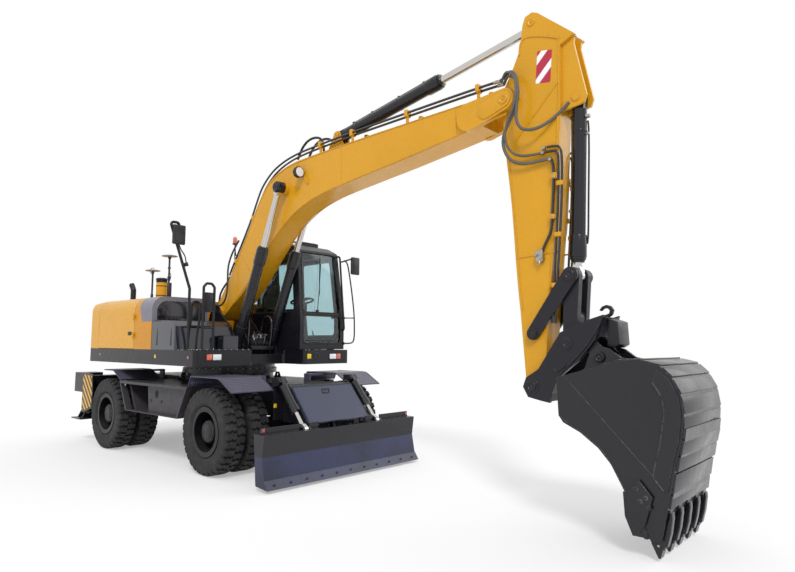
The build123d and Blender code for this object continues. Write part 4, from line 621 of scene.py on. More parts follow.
NODE_FINISHES = {
    PAINT: "boom arm counterweight engine_hood service_door_left service_door_right",
    HOUSING: "hood_frame",
    INTAKE: "exhaust_and_intake",
    DARK: "chassis_frame slew_ring axles outrigger_frame front_toolbox knuckle_left "
          "knuckle_right steering_rod blade_lower_links blade_upper_links upper_frame cab_shell "
          "cab_door rails_and_mirrors outrigger_leg_left outrigger_leg_right "
          "outrigger_foot_left outrigger_foot_right",
    GREY: "front_toolbox_lid",
    CHEQUER: "fenders",
    SLATE: "side_boxes",
    TANK: "deck_boxes",
    BLADE: "blade",
    BUCKET: "bucket",
    GEAR: "side_links push_link quick_coupler",
    CYLINDER: "blade_cylinder_barrels outrigger_barrel_left outrigger_barrel_right "
              "boom_cylinder_barrels arm_cylinder_barrel bucket_cylinder_barrel",
    CHROME: "blade_cylinder_rods outrigger_rod_left outrigger_rod_right boom_cylinder_rods "
            "arm_cylinder_rod bucket_cylinder_rod",
    RIM: "rims_front_left rims_front_right rims_rear_left rims_rear_right",
    TYRE: "tyres_front_left tyres_front_right tyres_rear_left tyres_rear_right",
    GLASS: "cab_panes door_pane",
    TRIM: "cab_fittings",
    CLOTH: "operator_seat",
    ZINC: "engine",
}


# ---------------------------------------------------------------- sizes and colours to change
class ExcavatorSettings(bpy.types.PropertyGroup):
    """Sizes and colours of the finish"""
    paint: bpy.props.FloatVectorProperty(
        name="Body colour", description="Enamel of the boom and the arm",
        subtype="COLOR_GAMMA", size=3, min=0, max=1, default=(0.83, 0.60, 0.09))
    # Housing colour: the body's yellow with painted shade, a darker and more saturated copy of the
    # same enamel; the service doors in it keep the body yellow.
    housing: bpy.props.FloatVectorProperty(
        name="Housing colour", description="Enamel of the engine housing",
        subtype="COLOR_GAMMA", size=3, min=0, max=1, default=(0.79, 0.535, 0.04))
    frame: bpy.props.FloatVectorProperty(
        name="Frame colour", description="Enamel of the chassis, the deck and the cab",
        subtype="COLOR_GAMMA", size=3, min=0, max=1, default=(0.095, 0.09, 0.115))
    dust: bpy.props.FloatProperty(
        name="Dust", description="Dust settled on faces that look up", subtype="FACTOR",
        min=0, max=1, default=0.12)
    lug_count: bpy.props.IntProperty(
        name="Tread lugs", description="Lugs in each of the two rows round a tyre",
        min=20, max=60, default=32)
    hose_radius: bpy.props.FloatProperty(
        name="Hose radius", description="Outer radius of the working gear's hoses", unit="LENGTH",
        min=0.005, max=0.03, default=0.015)
    pipe_radius: bpy.props.FloatProperty(
        name="Pipe radius", description="Outer radius of the steel oil pipes", unit="LENGTH",
        min=0.005, max=0.03, default=0.014)
    floor_radius: bpy.props.FloatProperty(
        name="Floor radius", description="Radius of the plain floor", unit="LENGTH",
        min=10, max=100, default=60)


def settings():
    """The scene's sizes and colours."""
    return bpy.context.scene.excavator


def pipe_mm():
    """Outer radius of the steel pipes in millimetres."""
    return settings().pipe_radius / MM


def hose_mm():
    """Outer radius of the hoses in millimetres."""
    return settings().hose_radius / MM


# ---------------------------------------------------------------- wheels
def tyre_carcass(centre):
    """Smooth body of a tyre: beads, ribbed sidewalls and the base of the tread."""
    side = [(101, 254.5), (101, 302), (112, 316), (127, 328), (131, 338), (134, 340), (134.5, 350),
            (133, 354), (136, 385), (137.5, 415), (137, 438), (138.5, 441), (138.5, 449),
            (135, 452), (131, 475), (124, 486), (106, 492), (70, 495), (0, 496)]
    profile = side + [(-along, radius) for along, radius in reversed(side[:-1])]
    return spun(profile, centre, "Y", 96)


def tread_lug(centre):
    """One lug of the outer row: a cranked bar from the middle to the shoulder, and its buttress."""
    x0, y0, z0 = centre
    path = [(2, 3), (20, 34), (-3, 62), (15, 92), (10, 122)]
    half = 33
    outline = [(x0 + x - half, y0 + y) for x, y in path]
    outline += [(x0 + x + half, y0 + y) for x, y in reversed(path)]
    lug = plate(outline, "Z", z0 + 488, z0 + TYRE_RADIUS - 1, 4, 1)
    for vertex in lug.data.vertices:
        beyond = (vertex.co.y / MM - y0 - 84) / 38
        if beyond > 0 and vertex.co.z > (z0 + 500) * MM:
            vertex.co.z -= 13 * beyond ** 2 * MM
    buttress = plate([(y0 + 104, z0 + 506), (y0 + 121, z0 + 510), (y0 + 134, z0 + 482),
                      (y0 + 139.5, z0 + 446), (y0 + 134, z0 + 440), (y0 + 120, z0 + 470)], "X",
                     x0 - 21, x0 + 41, 3, 1)
    return join(lug, buttress)


def treaded_tyre(centre):
    """A tyre with two staggered rows of lugs."""
    count = settings().lug_count
    right = around(tread_lug(centre), centre, "Y", count)
    middle = Vector((0, 2 * centre[1] * MM, 0))
    left = copy_of(right, Matrix.Translation(middle) @ MIRROR_Y)
    half_pitch = Matrix.Rotation(pi / count, 4, "Y")
    here = Matrix.Translation(at(*centre))
    left.data.transform(here @ half_pitch @ here.inverted())
    return join(tyre_carcass(centre), right, left)


def on_all_hubs(model):
    """Yields a copy of the left front hub's piece for each hub, with the hub's name."""
    for end, shift in (("front", 0), ("rear", REAR_AXLE_X - FRONT_AXLE_X)):
        for side, turn in (("left", Matrix.Identity(4)), ("right", MIRROR_Y)):
            yield (copy_of(model, Matrix.Translation((shift * MM, 0, 0)) @ turn), f"{end}_{side}")
    bpy.data.objects.remove(model)


class EXCAVATOR_OT_tyres(bpy.types.Operator):
    """Twin tyres with cranked lugs on all four hubs"""
    bl_idname = "excavator.tyres"
    bl_label = "Treaded tyres"

    def execute(self, context):
        model = treaded_tyre((FRONT_AXLE_X, TYRE_MIDDLES[1], AXLE_Z))
        step_in = Matrix.Translation((0, (TYRE_MIDDLES[0] - TYRE_MIDDLES[1]) * MM, 0))
        pair = join(copy_of(model), copy_of(model, step_in))
        bpy.data.objects.remove(model)
        for wheel, corner in on_all_hubs(pair):
            finish(wheel, f"treaded_tyres_{corner}", f"wheel_{corner}", TYRE, 30)
            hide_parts(f"tyres_{corner}")
        return {"FINISHED"}


def bolt(place, axis, sign, size=16):
    """Hexagon bolt head on its washer, standing along an axis."""
    line = Vector([float(name == axis) * sign for name in "XYZ"])
    start = Vector(place)
    head = rod(start, start + line * size * 0.75, size, 6)
    head = round_edges(head, size * 0.1, 1)
    return join(head, rod(start - line, start + line * size * 0.2, size * 1.35, 14))


class EXCAVATOR_OT_hubs(bpy.types.Operator):
    """Wheel nuts, hub caps, valve stems and lock rings"""
    bl_idname = "excavator.hubs"
    bl_label = "Hub details"

    def execute(self, context):
        face_y, disc_y = 1192, 957
        x, z = FRONT_AXLE_X, AXLE_Z
        centre = (x, 0, z)
        bolts = around(bolt((x, face_y, z + 112), "Y", 1, 9), centre, "Y", 10, 12)
        plug = spun([(0, 0.5), (9, 0.5), (9, 15), (6, 20), (0, 20)], (x, face_y, z + 62), "Y", 20)
        plugs = around(plug, centre, "Y", 3, 30)
        cover = spun([(-2, 0.5), (7, 0.5), (7, 88), (4, 94), (-2, 94)], (x, face_y, z), "Y", 48)
        nuts = around(bolt((x, disc_y, z + 184), "Y", 1, 15), centre, "Y", 10)
        lock_ring = spun([(0, 246), (9, 250), (10, 259), (5, 268), (0, 272)], (x, 1213, z), "Y", 72)
        edge_ring = spun([(-3, 284), (3, 287), (5, 294), (3, 299), (-3, 299)], (x, 1228, z), "Y",
                         72)
        stem = tube([(x + 232, disc_y + 20, z), (x + 232, disc_y + 120, z), (x + 222, 1180, z),
                     (x + 214, 1196, z)], 5)
        model = join(bolts, plugs, cover, nuts, stem, lock_ring, edge_ring)
        for trim, corner in on_all_hubs(model):
            finish(trim, f"hub_fittings_{corner}", f"wheel_{corner}", HUB)
        return {"FINISHED"}


# ---------------------------------------------------------------- chassis
class EXCAVATOR_OT_chassis(bpy.types.Operator):
    """Fender beads, ring bolts, side box fittings, reflectors and brake lines"""
    bl_idname = "excavator.chassis"
    bl_label = "Chassis details"

    def execute(self, context):
        front = [(978, 1058), (1026, 1180), (1665, 1180), (1943, 1022)]
        rear = [(-940, 1056), (-1200, 1180), (-1516, 1180)]
        beads = []
        for run in (front, rear):
            for y in (1238, 644):
                beads.append(tube([(x, y, z) for x, z in run], 8, 2, 2))
        for x, z in (front[0], front[-1], rear[0], rear[-1]):
            beads.append(tube([(x, 644, z), (x, 1238, z)], 8, 2, 2))
        finish_both(beads, "fender_beads", "chassis", GREY)
        rows = [around(bolt((667, 0, 1232), "Z", 1, 11), (0, 0, 0), "Z", 40),
                around(bolt((662, 0, 1180), "Z", 1, 10), (0, 0, 0), "Z", 36, 5)]
        finish(rows, "ring_bolts", "chassis", ZINC)
        rim_y, face_y = 1250, 1162
        latch = [block((-34, face_y - 2, 842), (34, face_y + 9, 942), 8),
                 block((-20, face_y + 6, 866), (20, face_y + 18, 918), 6),
                 rod((0, face_y + 14, 905), (0, face_y + 22, 905), 9, 18, 1)]
        latch += [rod((x, face_y - 1, 800), (x, face_y + 2, 800), 15, 20) for x in (-150, 160)]
        grommets = [spun([(-1, 13), (4, 14), (5, 18), (3, 22), (-1, 22)], (x, face_y, 800), "Y", 24)
                    for x in (-150, 160)]
        finish_both(latch, "side_box_latches", "chassis", PLASTIC)
        finish_both(grommets, "side_box_grommets", "chassis", SEAL)
        hinges = [rod((x, face_y + 3, 1000), (x + 90, face_y + 3, 1000), 9, 16, 1)
                  for x in (-420, 90, 420)]
        finish_both(hinges, "side_box_hinges", "chassis", DARK)
        tabs = [block((x - 26, rim_y - 60, 948), (x + 26, rim_y - 46, 1010), 6)
                for x in (-866, 866)]
        finish_both(tabs, "reflector_tabs", "chassis", DARK)
        dots = [rod((x, rim_y - 47, 982), (x, rim_y - 41, 982), 19, 28, 1.5) for x in (-866, 866)]
        finish_both(dots, "white_reflectors", "chassis", CLEAR)
        for side, name in SIDES:
            square = block((1950.5, side * 642, 812), (1955, side * 600, 862), 1.5)
            finish(square, f"post_reflector_{name}", "chassis", YELLOW_FILM)
        lines = []
        for y in (60, -60, 95):
            lines.append(tube([(-1150, y, 640), (-700, y, 635), (-300, y * 2.6, 640),
                               (300, y * 2.6, 640), (700, y, 635), (1100, y, 640)], 9))
        for x, side in ((FRONT_AXLE_X, 1), (REAR_AXLE_X, -1)):
            for across in (1, -1):
                lines.append(tube([(x - side * 260, across * 90, 640),
                                   (x - side * 130, across * 120, 655),
                                   (x - side * 70, across * 260, 650),
                                   (x - side * 60, across * 430, 615),
                                   (x - side * 30, across * 560, 600)], 8))
        finish(lines, "brake_lines", "chassis", HOSE)
        caps = [bolt((x + dx, y, 1085), "Z", 1, 9) for x in (-600, 600) for dx in (-110, 110)
                for y in (360, -360)]
        finish(caps, "frame_top_bolts", "chassis", ZINC)
        return {"FINISHED"}


class EXCAVATOR_OT_toolbox(bpy.types.Operator):
    """Handle and rim of the front tool box's lid, and the ends of its seal"""
    bl_idname = "excavator.toolbox"
    bl_label = "Tool box lid"

    def execute(self, context):
        top, bottom = Vector((2110, 0, 1068)), Vector((2463, 0, 660))
        run = (bottom - top).normalized()
        out = Vector((-run.z, 0, run.x))

        def on_lid(along, y, lift):
            point = top + run * along + out * lift
            return (point.x, y, point.z)

        corners = [on_lid(a, y, 1.5) for a, y in ((62, -48), (62, 72), (128, 48), (128, -72))]
        handle = bead(corners, 4)
        inner = [on_lid(a, y * 0.82, 1.0) for a, y in ((72, -48), (72, 72), (118, 48), (118, -72))]
        grip = bead(inner, 3)
        latch = rod(on_lid(90, 0, -2), on_lid(90, 0, 5), 12, 20, 1)
        rim = [tube([on_lid(6, y, 1), on_lid(520, y, 1)], 4, 2, 2) for y in (-496, 496)]
        rim.append(tube([on_lid(6, -496, 1), on_lid(6, 496, 1)], 4, 2, 2))
        finish([handle, grip, latch, *rim], "toolbox_lid_handle", "toolbox_lid", DARK)
        boots = [tube([(2110, y, 1010), (2105, y * 1.01, 1040), (2070, y * 1.02, 1075)], 6)
                 for y in (-440, 440)]
        finish(boots, "toolbox_seal_ends", "chassis", SEAL)
        return {"FINISHED"}


class EXCAVATOR_OT_blade(bpy.types.Operator):
    """Blade's reflectors, ribs and edge bolts, its links' caps and cylinders' hoses"""
    bl_idname = "excavator.blade"
    bl_label = "Blade details"

    def execute(self, context):
        dots = [block((2500, side * 1212, 622), (2506, side * 1168, 666), 3) for side in (1, -1)]
        finish(dots, "blade_reflectors", "blade", RED)
        shapes = ((720, (2548, 360), 490), (960, (2548, 360), 490), (420, (2552, 330), 430))
        ribs = [plate([(2466, 70), (2640, 70), (2600, 160), neck, (2556, top), (2448, top)], "Y", y,
                      y + 14) for y, neck, top in shapes]
        finish_both(ribs, "blade_ribs", "blade", BLADE)
        bolts = [bolt((2662, y, 82), "X", 1, 11) for y in range(-1140, 1141, 228)]
        finish(bolts, "edge_bolts", "blade", BLADE)
        pins = [join(rod((1960, 300, z), (1960, 334, z), 34, 28, 3),
                     bolt((1960, 334, z), "Y", 1, 11)) for z in (290, 455)]
        finish_both(pins, "blade_link_caps", "chassis", ZINC)
        hoses = [tube([(1970, 470, 1050), (2000, 500, 1120), (2030, 540, 1075), (2070, 560, 1030),
                       (2090, 575, 1010)], 9),
                 tube([(1970, 480, 1020), (2010, 500, 1080), (2052, 548, 1044), (2080, 560, 1006),
                       (2096, 572, 990)], 9)]
        finish_both(hoses, "blade_cylinder_hoses", "blade_cylinder_barrels", HOSE)
        return {"FINISHED"}


class EXCAVATOR_OT_outriggers(bpy.types.Operator):
    """Outriggers' striped guards, foot caps and hoses, the rear boards, lamps and spine bolts"""
    bl_idname = "excavator.outriggers"
    bl_label = "Outrigger details"

    def execute(self, context):
        for side, name in SIDES:
            low, high = sorted((side * 1215.5, side * 1218))
            stripes = plate([(-2360, 1078), (-2032, 1062), (-2002, 808), (-2012, 585), (-2300, 500),
                             (-2360, 512)], "Y", low, high, 0)
            finish(stripes, f"guard_stripes_{name}", "chassis", GUARD_FILM)
            back = block((-2705, side * 1160, 850), (-2699, side * 960, 1060), 2)
            finish(back, f"rear_board_{name}", "chassis", GUARD_FILM)
            lamp = block((-2722, side * 940, 960), (-2700, side * 905, 1060), 5)
            finish(lamp, f"tail_lamp_{name}", "chassis", RED)
            foot_pin = [rod((x, side * 1120, 470), (x + 8, side * 1120, 470), 30, 24, 2)
                        for x in (-2360, -2548)]
            finish(foot_pin, f"foot_pin_caps_{name}", f"outrigger_{name}_foot", ZINC)
            pads = [block((-2625, side * y, 361), (-2275, side * (y - 30), 374), 3)
                    for y in (1265, 1005)]
            finish(pads, f"foot_grip_bars_{name}", f"outrigger_{name}_foot", GEAR)
            hose = tube([(-2395, side * 1010, 1010), (-2370, side * 985, 985),
                         (-2365, side * 940, 900), (-2385, side * 960, 820),
                         (-2400, side * 975, 780)], 9)
            finish(hose, f"outrigger_hose_{name}", f"outrigger_{name}_barrel", HOSE)
        plate_lamp = join(block((-2560, -60, 900), (-2545, 60, 940), 5),
                          rod((-2552, -40, 895), (-2552, 40, 895), 7, 14))
        finish(plate_lamp, "rear_plate_lamp", "chassis", PLASTIC)
        bolts = [bolt((-2545, y, z), "X", -1, 10) for y in (-200, 200)
                 for z in (540, 700, 860, 1010)]
        finish(bolts, "spine_bolts", "chassis", ZINC)
        return {"FINISHED"}


# ---------------------------------------------------------------- upper structure
class EXCAVATOR_OT_deck(bpy.types.Operator):
    """Deck's lamps and reflectors, platform plate, bolts, tank cap and straps, and tow ring"""
    bl_idname = "excavator.deck"
    bl_label = "Deck details"

    def execute(self, context):
        right, left = RIGHT_DECK_X, LEFT_DECK_X
        frames = [block((right - 4, -1092, 1368), (right + 8, -858, 1462), 8),
                  block((left - 4, 838, 1360), (left + 8, 1074, 1454), 8)]
        finish(frames, "lamp_frames", UPPER, PLASTIC)
        amber = [block((right + 4, -1080, 1378), (right + 15, -1006, 1452), 6),
                 block((left + 4, 992, 1370), (left + 15, 1062, 1444), 6)]
        finish(amber, "turn_lamps", UPPER, AMBER)
        clear = [block((right + 4, -992, 1378), (right + 15, -872, 1452), 6),
                 block((left + 4, 850, 1370), (left + 15, 978, 1444), 6)]
        finish(clear, "head_lamps", UPPER, CLEAR)
        finish(block((left - 2, 428, 1378), (left + 3, 500, 1448), 2), "front_reflector", UPPER,
               YELLOW_FILM)
        ring = [spun([(0, 34), (4, 34), (6, 38), (6, 48), (4, 52), (0, 52)],
                     (left, 600, REFLECTOR_Z), "X", 40), bolt((left, 600, REFLECTOR_Z), "X", 1, 12)]
        finish(ring, "tow_ring", UPPER, GEAR)
        red = [rod((x, y, REFLECTOR_Z), (x, y + depth, REFLECTOR_Z), 19, 26, 1.5)
               for y, depth in ((-1249, -6), (1244, 6)) for x in (-1676, 966)]
        finish(red, "side_reflectors_red", UPPER, RED)
        yellow = [block((78, y, 1388), (116, y + 5, 1436), 1.5) for y in (-1254, 1244)]
        finish(yellow, "side_reflectors_yellow", UPPER, YELLOW_FILM)
        low = DECK_Z + 0.5
        step = plate([(812, -1236), (1096, -1236), (1096, -392), (812, -392)], "Z", low, low + 6, 3)
        lozenge = plate([(836, -1218), (842, -1222), (872, -1192), (866, -1188)], "Z", low + 5,
                        low + 9, 1, 1)
        pads = shifted(lozenge,
                       *[(column * 38, row * 38, 0) for column in range(6) for row in range(21)])
        finish([step, pads], "platform_plate", UPPER, DARK)
        heads = [bolt((x, -1206, low + 5), "Z", 1, 10) for x in range(830, 1100, 65)]
        heads += [bolt((1080, y, low + 5), "Z", 1, 10) for y in range(-1150, -400, 90)]
        heads += [bolt((x, -1218, low - 1), "Z", 1, 10) for x in (660, 725, 770)]
        heads += [bolt((1262, y, low - 1), "Z", 1, 10) for y in (420, 480, 600, 720)]
        finish(heads, "deck_bolts", UPPER, ZINC)
        cap = spun([(0, 0.5), (34, 0.5), (38, 6), (38, 40), (30, 44), (28, 52), (0, 58), (-2, 58)],
                   (420, -1040, 1888), "Z", 40)
        grips = around(block((472, -1046, 1890), (482, -1034, 1924), 3), (420, -1040, 0), "Z", 10)
        cap = join(cap, grips, block((380, -1000, 1888), (470, -960, 1896), 3))
        finish(cap, "tank_cap", UPPER, PLASTIC)
        straps = [tube([(x, -1246, 1560), (x, -1246, 1840), (x, -1210, 1889), (x, -1150, 1893),
                        (x, -420, 1893)], 6, 3, 2) for x in (120, 500)]
        handle = tube([(566, -1120, 1800), (640, -1120, 1820), (668, -1060, 1822),
                       (668, -800, 1822), (640, -740, 1820), (566, -740, 1800)], 11)
        finish([handle, *straps], "tank_straps", UPPER, DARK)
        lid = [block((648, -636, 1694), (800, -404, 1702), 5),
               block((690, -640, 1640), (760, -652, 1676), 4)]
        finish(lid, "battery_lid", UPPER, PLASTIC)
        return {"FINISHED"}


class EXCAVATOR_OT_housing(bpy.types.Operator):
    """Housing's inlet panel, latches, louvres, lifting eyes, lamps, pre-cleaner cap and aerials"""
    bl_idname = "excavator.housing"
    bl_label = "Engine housing details"

    def execute(self, context):
        front = HOUSING_FRONT_X
        corner = [(-1184 + 150 * (1 - cos(radians(a))), 2040 + 150 * sin(radians(a)))
                  for a in range(0, 91, 10)]
        outline = [(-1184, 1906), *corner, (-446, 2190), (-430, 2174), (-430, 1906)]
        panel = plate(outline, "X", front - 1, front + 5, 3)
        dividers = [plate([(-1004, 1910), (-1004, 2184), (-992, 2184), (-992, 1910)], "X",
                          front + 3, front + 11, 3)]
        fasteners = [bolt((front + 4, y, z), "X", 1, 7) for y in (-1160, -1030, -966, -460)
                     for z in (1930, 2030)]
        finish([panel, *dividers, *fasteners], "air_inlet_panel", UPPER, INLET)
        rim = bead([(front + 4, y, z) for y, z in outline], 7)
        finish(rim, "air_inlet_rim", UPPER, HOOD_GREY)
        for side, name in ((-1, "right"), (1, "left")):
            y = side * HOUSING_SIDE_Y
            recess = block((-760, y - side * 6, 1700), (-640, y + side * 2.5, 1756), 6)
            lever = block((-742, y, 1716), (-660, y + side * 9, 1740), 6)
            lock = rod((-656, y, 1728), (-656, y + side * 8, 1728), 9, 20, 1)
            finish([recess, lever, lock], f"door_latch_{name}", f"service_door_{name}", PLASTIC)
        vents = [plate([(-1560, 1745 + row * 34), (-1560, 1768 + row * 34),
                        (-1140, 1768 + row * 34), (-1140, 1745 + row * 34)], "Y", 1249, 1257, 5, 2)
                 for row in range(9)]
        finish(vents, "left_door_louvres", "service_door_left", PAINT)
        grab = [tube([(x, y, 2249), (x, y, 2278), (x + 30, y, 2290), (x + 190, y, 2290),
                      (x + 220, y, 2278), (x + 220, y, 2249)], 9)
                for x, y in ((-1640, 560), (-1640, -560))]
        latch = [block((-1742, y - 34, 2246), (-1702, y + 34, 2262), 5) for y in (-380, 380)]
        finish([*grab, *latch], "hood_handles", "engine_hood", PLASTIC)
        slots = [block((-1500 + 46 * i, -330, 2247), (-1478 + 46 * i, 330, 2257), 4)
                 for i in range(12)]
        finish(slots, "hood_louvres", "engine_hood", PAINT)
        eyes = []
        for y in (-640, 640):
            lug = plate([(-2060, 2180), (-1900, 2200), (-1910, 2262), (-1945, 2296), (-2000, 2296),
                         (-2040, 2262)], "Y", y - 18, y + 18, 5)
            eyes += [lug, spun([(-22, 22), (-22, 32), (22, 32), (22, 22)], (-1972, y, 2262), "Y",
                               28)]
        finish(eyes, "lifting_eyes", UPPER, PAINT)
        tail = []
        for side in (1, -1):
            turn = radians(180 - side * 17)
            x, y = TAIL_RADIUS * cos(turn), TAIL_RADIUS * sin(turn)
            tail += [rod((x + 6, y, z), (x - 8, y, z), 46, 32, 4) for z in (1650, 1780)]
        finish(tail, "tail_lamps", UPPER, RED)
        camera = [block((-2372, -46, 2068), (-2330, 46, 2106), 8),
                  rod((-2374, 0, 2085), (-2366, 0, 2085), 16, 24, 2)]
        finish(camera, "rear_camera", UPPER, PLASTIC)
        band = [rod((-1600, -810, 2262), (-1600, -810, 2290), 47, 32, 2),
                rod((-1600, -810, 2250), (-1600, -810, 2256), 78, 32, 2)]
        finish(band, "exhaust_collar", UPPER, GEAR)
        cap = spun([(0, 0.5), (0, 66), (8, 72), (30, 72), (34, 62), (40, 60), (44, 84), (50, 86),
                    (66, 82), (74, 60), (78, 0.5)], (-670, -810, 2498), "Z", 44)
        fins = around(block((-604, -813, 2506), (-590, -807, 2536), 1.5), (-670, -810, 0), "Z", 24)
        bands = [rod((-670, -810, z), (-670, -810, z + 14), 80.5, 44, 2) for z in (2296, 2440)]
        finish([cap, fins, *bands], "cleaner_cap", UPPER, PLASTIC)
        for name, (x, y, top), base in (("rear", (-1600, -500, 2780), 22),
                                        ("front", (-960, -548, 2960), 46)):
            pole = [rod((x, y, 2210), (x, y, 2270), 60, 32, 5),
                    rod((x, y, 2262), (x, y, 2262 + base * 6), base, 24, 4),
                    rod((x, y, 2300), (x, y, top - 10), 15, 20),
                    rod((x, y, top - 40), (x, y, top - 14), 24, 20, 3)]
            if name == "front":
                pole += [rod((x, y, 2600), (x, y, 2640), 24, 20, 3),
                         rod((x, y, 2760), (x, y, 2790), 22, 20, 3)]
                pole.append(tube([(x + 16, y, 2560), (x + 60, y, 2600), (x + 60, y, 2680),
                                  (x + 16, y, 2700)], 5))
            else:
                pole.append(tube([(x, y, top - 60), (x - 90, y, top - 40), (x - 92, y, top + 40),
                                  (x - 20, y, top + 52), (x + 40, y, top + 42)], 5))
            finish(pole, f"aerial_post_{name}", "engine_hood", PLASTIC)
            dish = spun([(-14, 0.5), (-14, 30), (-6, 112), (0, 122), (8, 118), (20, 60), (26, 0.5)],
                        (x, y, top), "Z", 44)
            finish(dish, f"aerial_{name}", "engine_hood", DISH)
        return {"FINISHED"}


class EXCAVATOR_OT_mirrors(bpy.types.Operator):
    """Mirror housings with their glass, the rail outside the cab and the hoop rail's board"""
    bl_idname = "excavator.mirrors"
    bl_label = "Mirrors and rails"

    def execute(self, context):
        right_case = block((836, -1468, 2856), (876, -1292, 3112), 24, 4)
        left_x = 1217
        left_case = block((left_x - 6, 1328, 2680), (left_x + 34, 1502, 2958), 24, 4)
        heater = [block((874, -1440, 2880), (882, -1320, 3088), 8),
                  block((left_x + 30, 1356, 2706), (left_x + 40, 1474, 2932), 8)]
        stay = tube([(872, -1384, 2862), (884, -1372, 2800), (872, -1300, 2730), (856, -1268, 2660),
                     (850, -1262, 2600)], 8)
        clamp = join(rod((850, -1252, 2588), (850, -1268, 2634), 26, 20, 4),
                     bolt((850, -1284, 2610), "Y", -1, 9))
        finish([right_case, left_case, *heater, stay, clamp], "mirror_cases", UPPER, PLASTIC)
        glass = [block((831, -1454, 2872), (837, -1306, 3096), 2.5),
                 block((left_x - 11, 1342, 2698), (left_x - 5, 1488, 2940), 2.5)]
        finish(glass, "mirror_glass", UPPER, MIRROR)
        outer_rail = [tube([(1176, 1222, 2890), (1196, 1262, 2880), (1200, 1300, 2780),
                            (1200, 1386, 2374), (1200, 1436, 2060), (1200, 1446, 1800),
                            (1200, 1440, 1660), (1200, 1400, 1606), (1200, 1290, 1600),
                            (1178, 1236, 1600)], 11),
                      tube([(1178, 1236, 1992), (1200, 1260, 1994), (1200, 1438, 1998)], 9, 2, 2),
                      rod((1170, 1232, 1600), (1190, 1240, 1600), 22, 20, 3),
                      rod((1170, 1232, 1992), (1190, 1240, 1992), 20, 20, 3)]
        finish(outer_rail, "cab_outer_rail", UPPER, DARK)
        board = block((1052, -1102, 2010), (1068, -984, 2250), 8)
        feet = [rod((1060, y, 1504), (1060, y, 1512), 38, 24, 2) for y in (-1120, -965)]
        feet += [rod((850, -1200, 1504), (850, -1200, 1514), 42, 24, 2)]
        ties = [rod((1060, -1120, z), (1060, -965, z), 9, 16) for z in (1790, 2000)]
        second = tube([(760, -1150, 1510), (770, -1150, 1700), (820, -1150, 1850),
                       (830, -1150, 2040), (830, -1150, 2110), (830, -1120, 2140),
                       (830, -1060, 2140), (830, -1030, 2110), (830, -1030, 2040),
                       (820, -1030, 1850), (770, -1030, 1700), (760, -1030, 1510)], 15)
        finish([board, second, *feet, *ties], "rail_board", UPPER, DARK)
        return {"FINISHED"}


# ---------------------------------------------------------------- cab
def screen_x(z):
    """Front of the cab at a height."""
    return 1175 - max(0, z - 1900) * 95 / 1085


def on_screen(lift, y, z):
    """Point that stands off the front of the cab."""
    return (screen_x(z) + lift, y, z)


def cab_side_y(z):
    """Left side of the cab at a height."""
    return 1240 - max(0, z - 2050) * 75 / 970


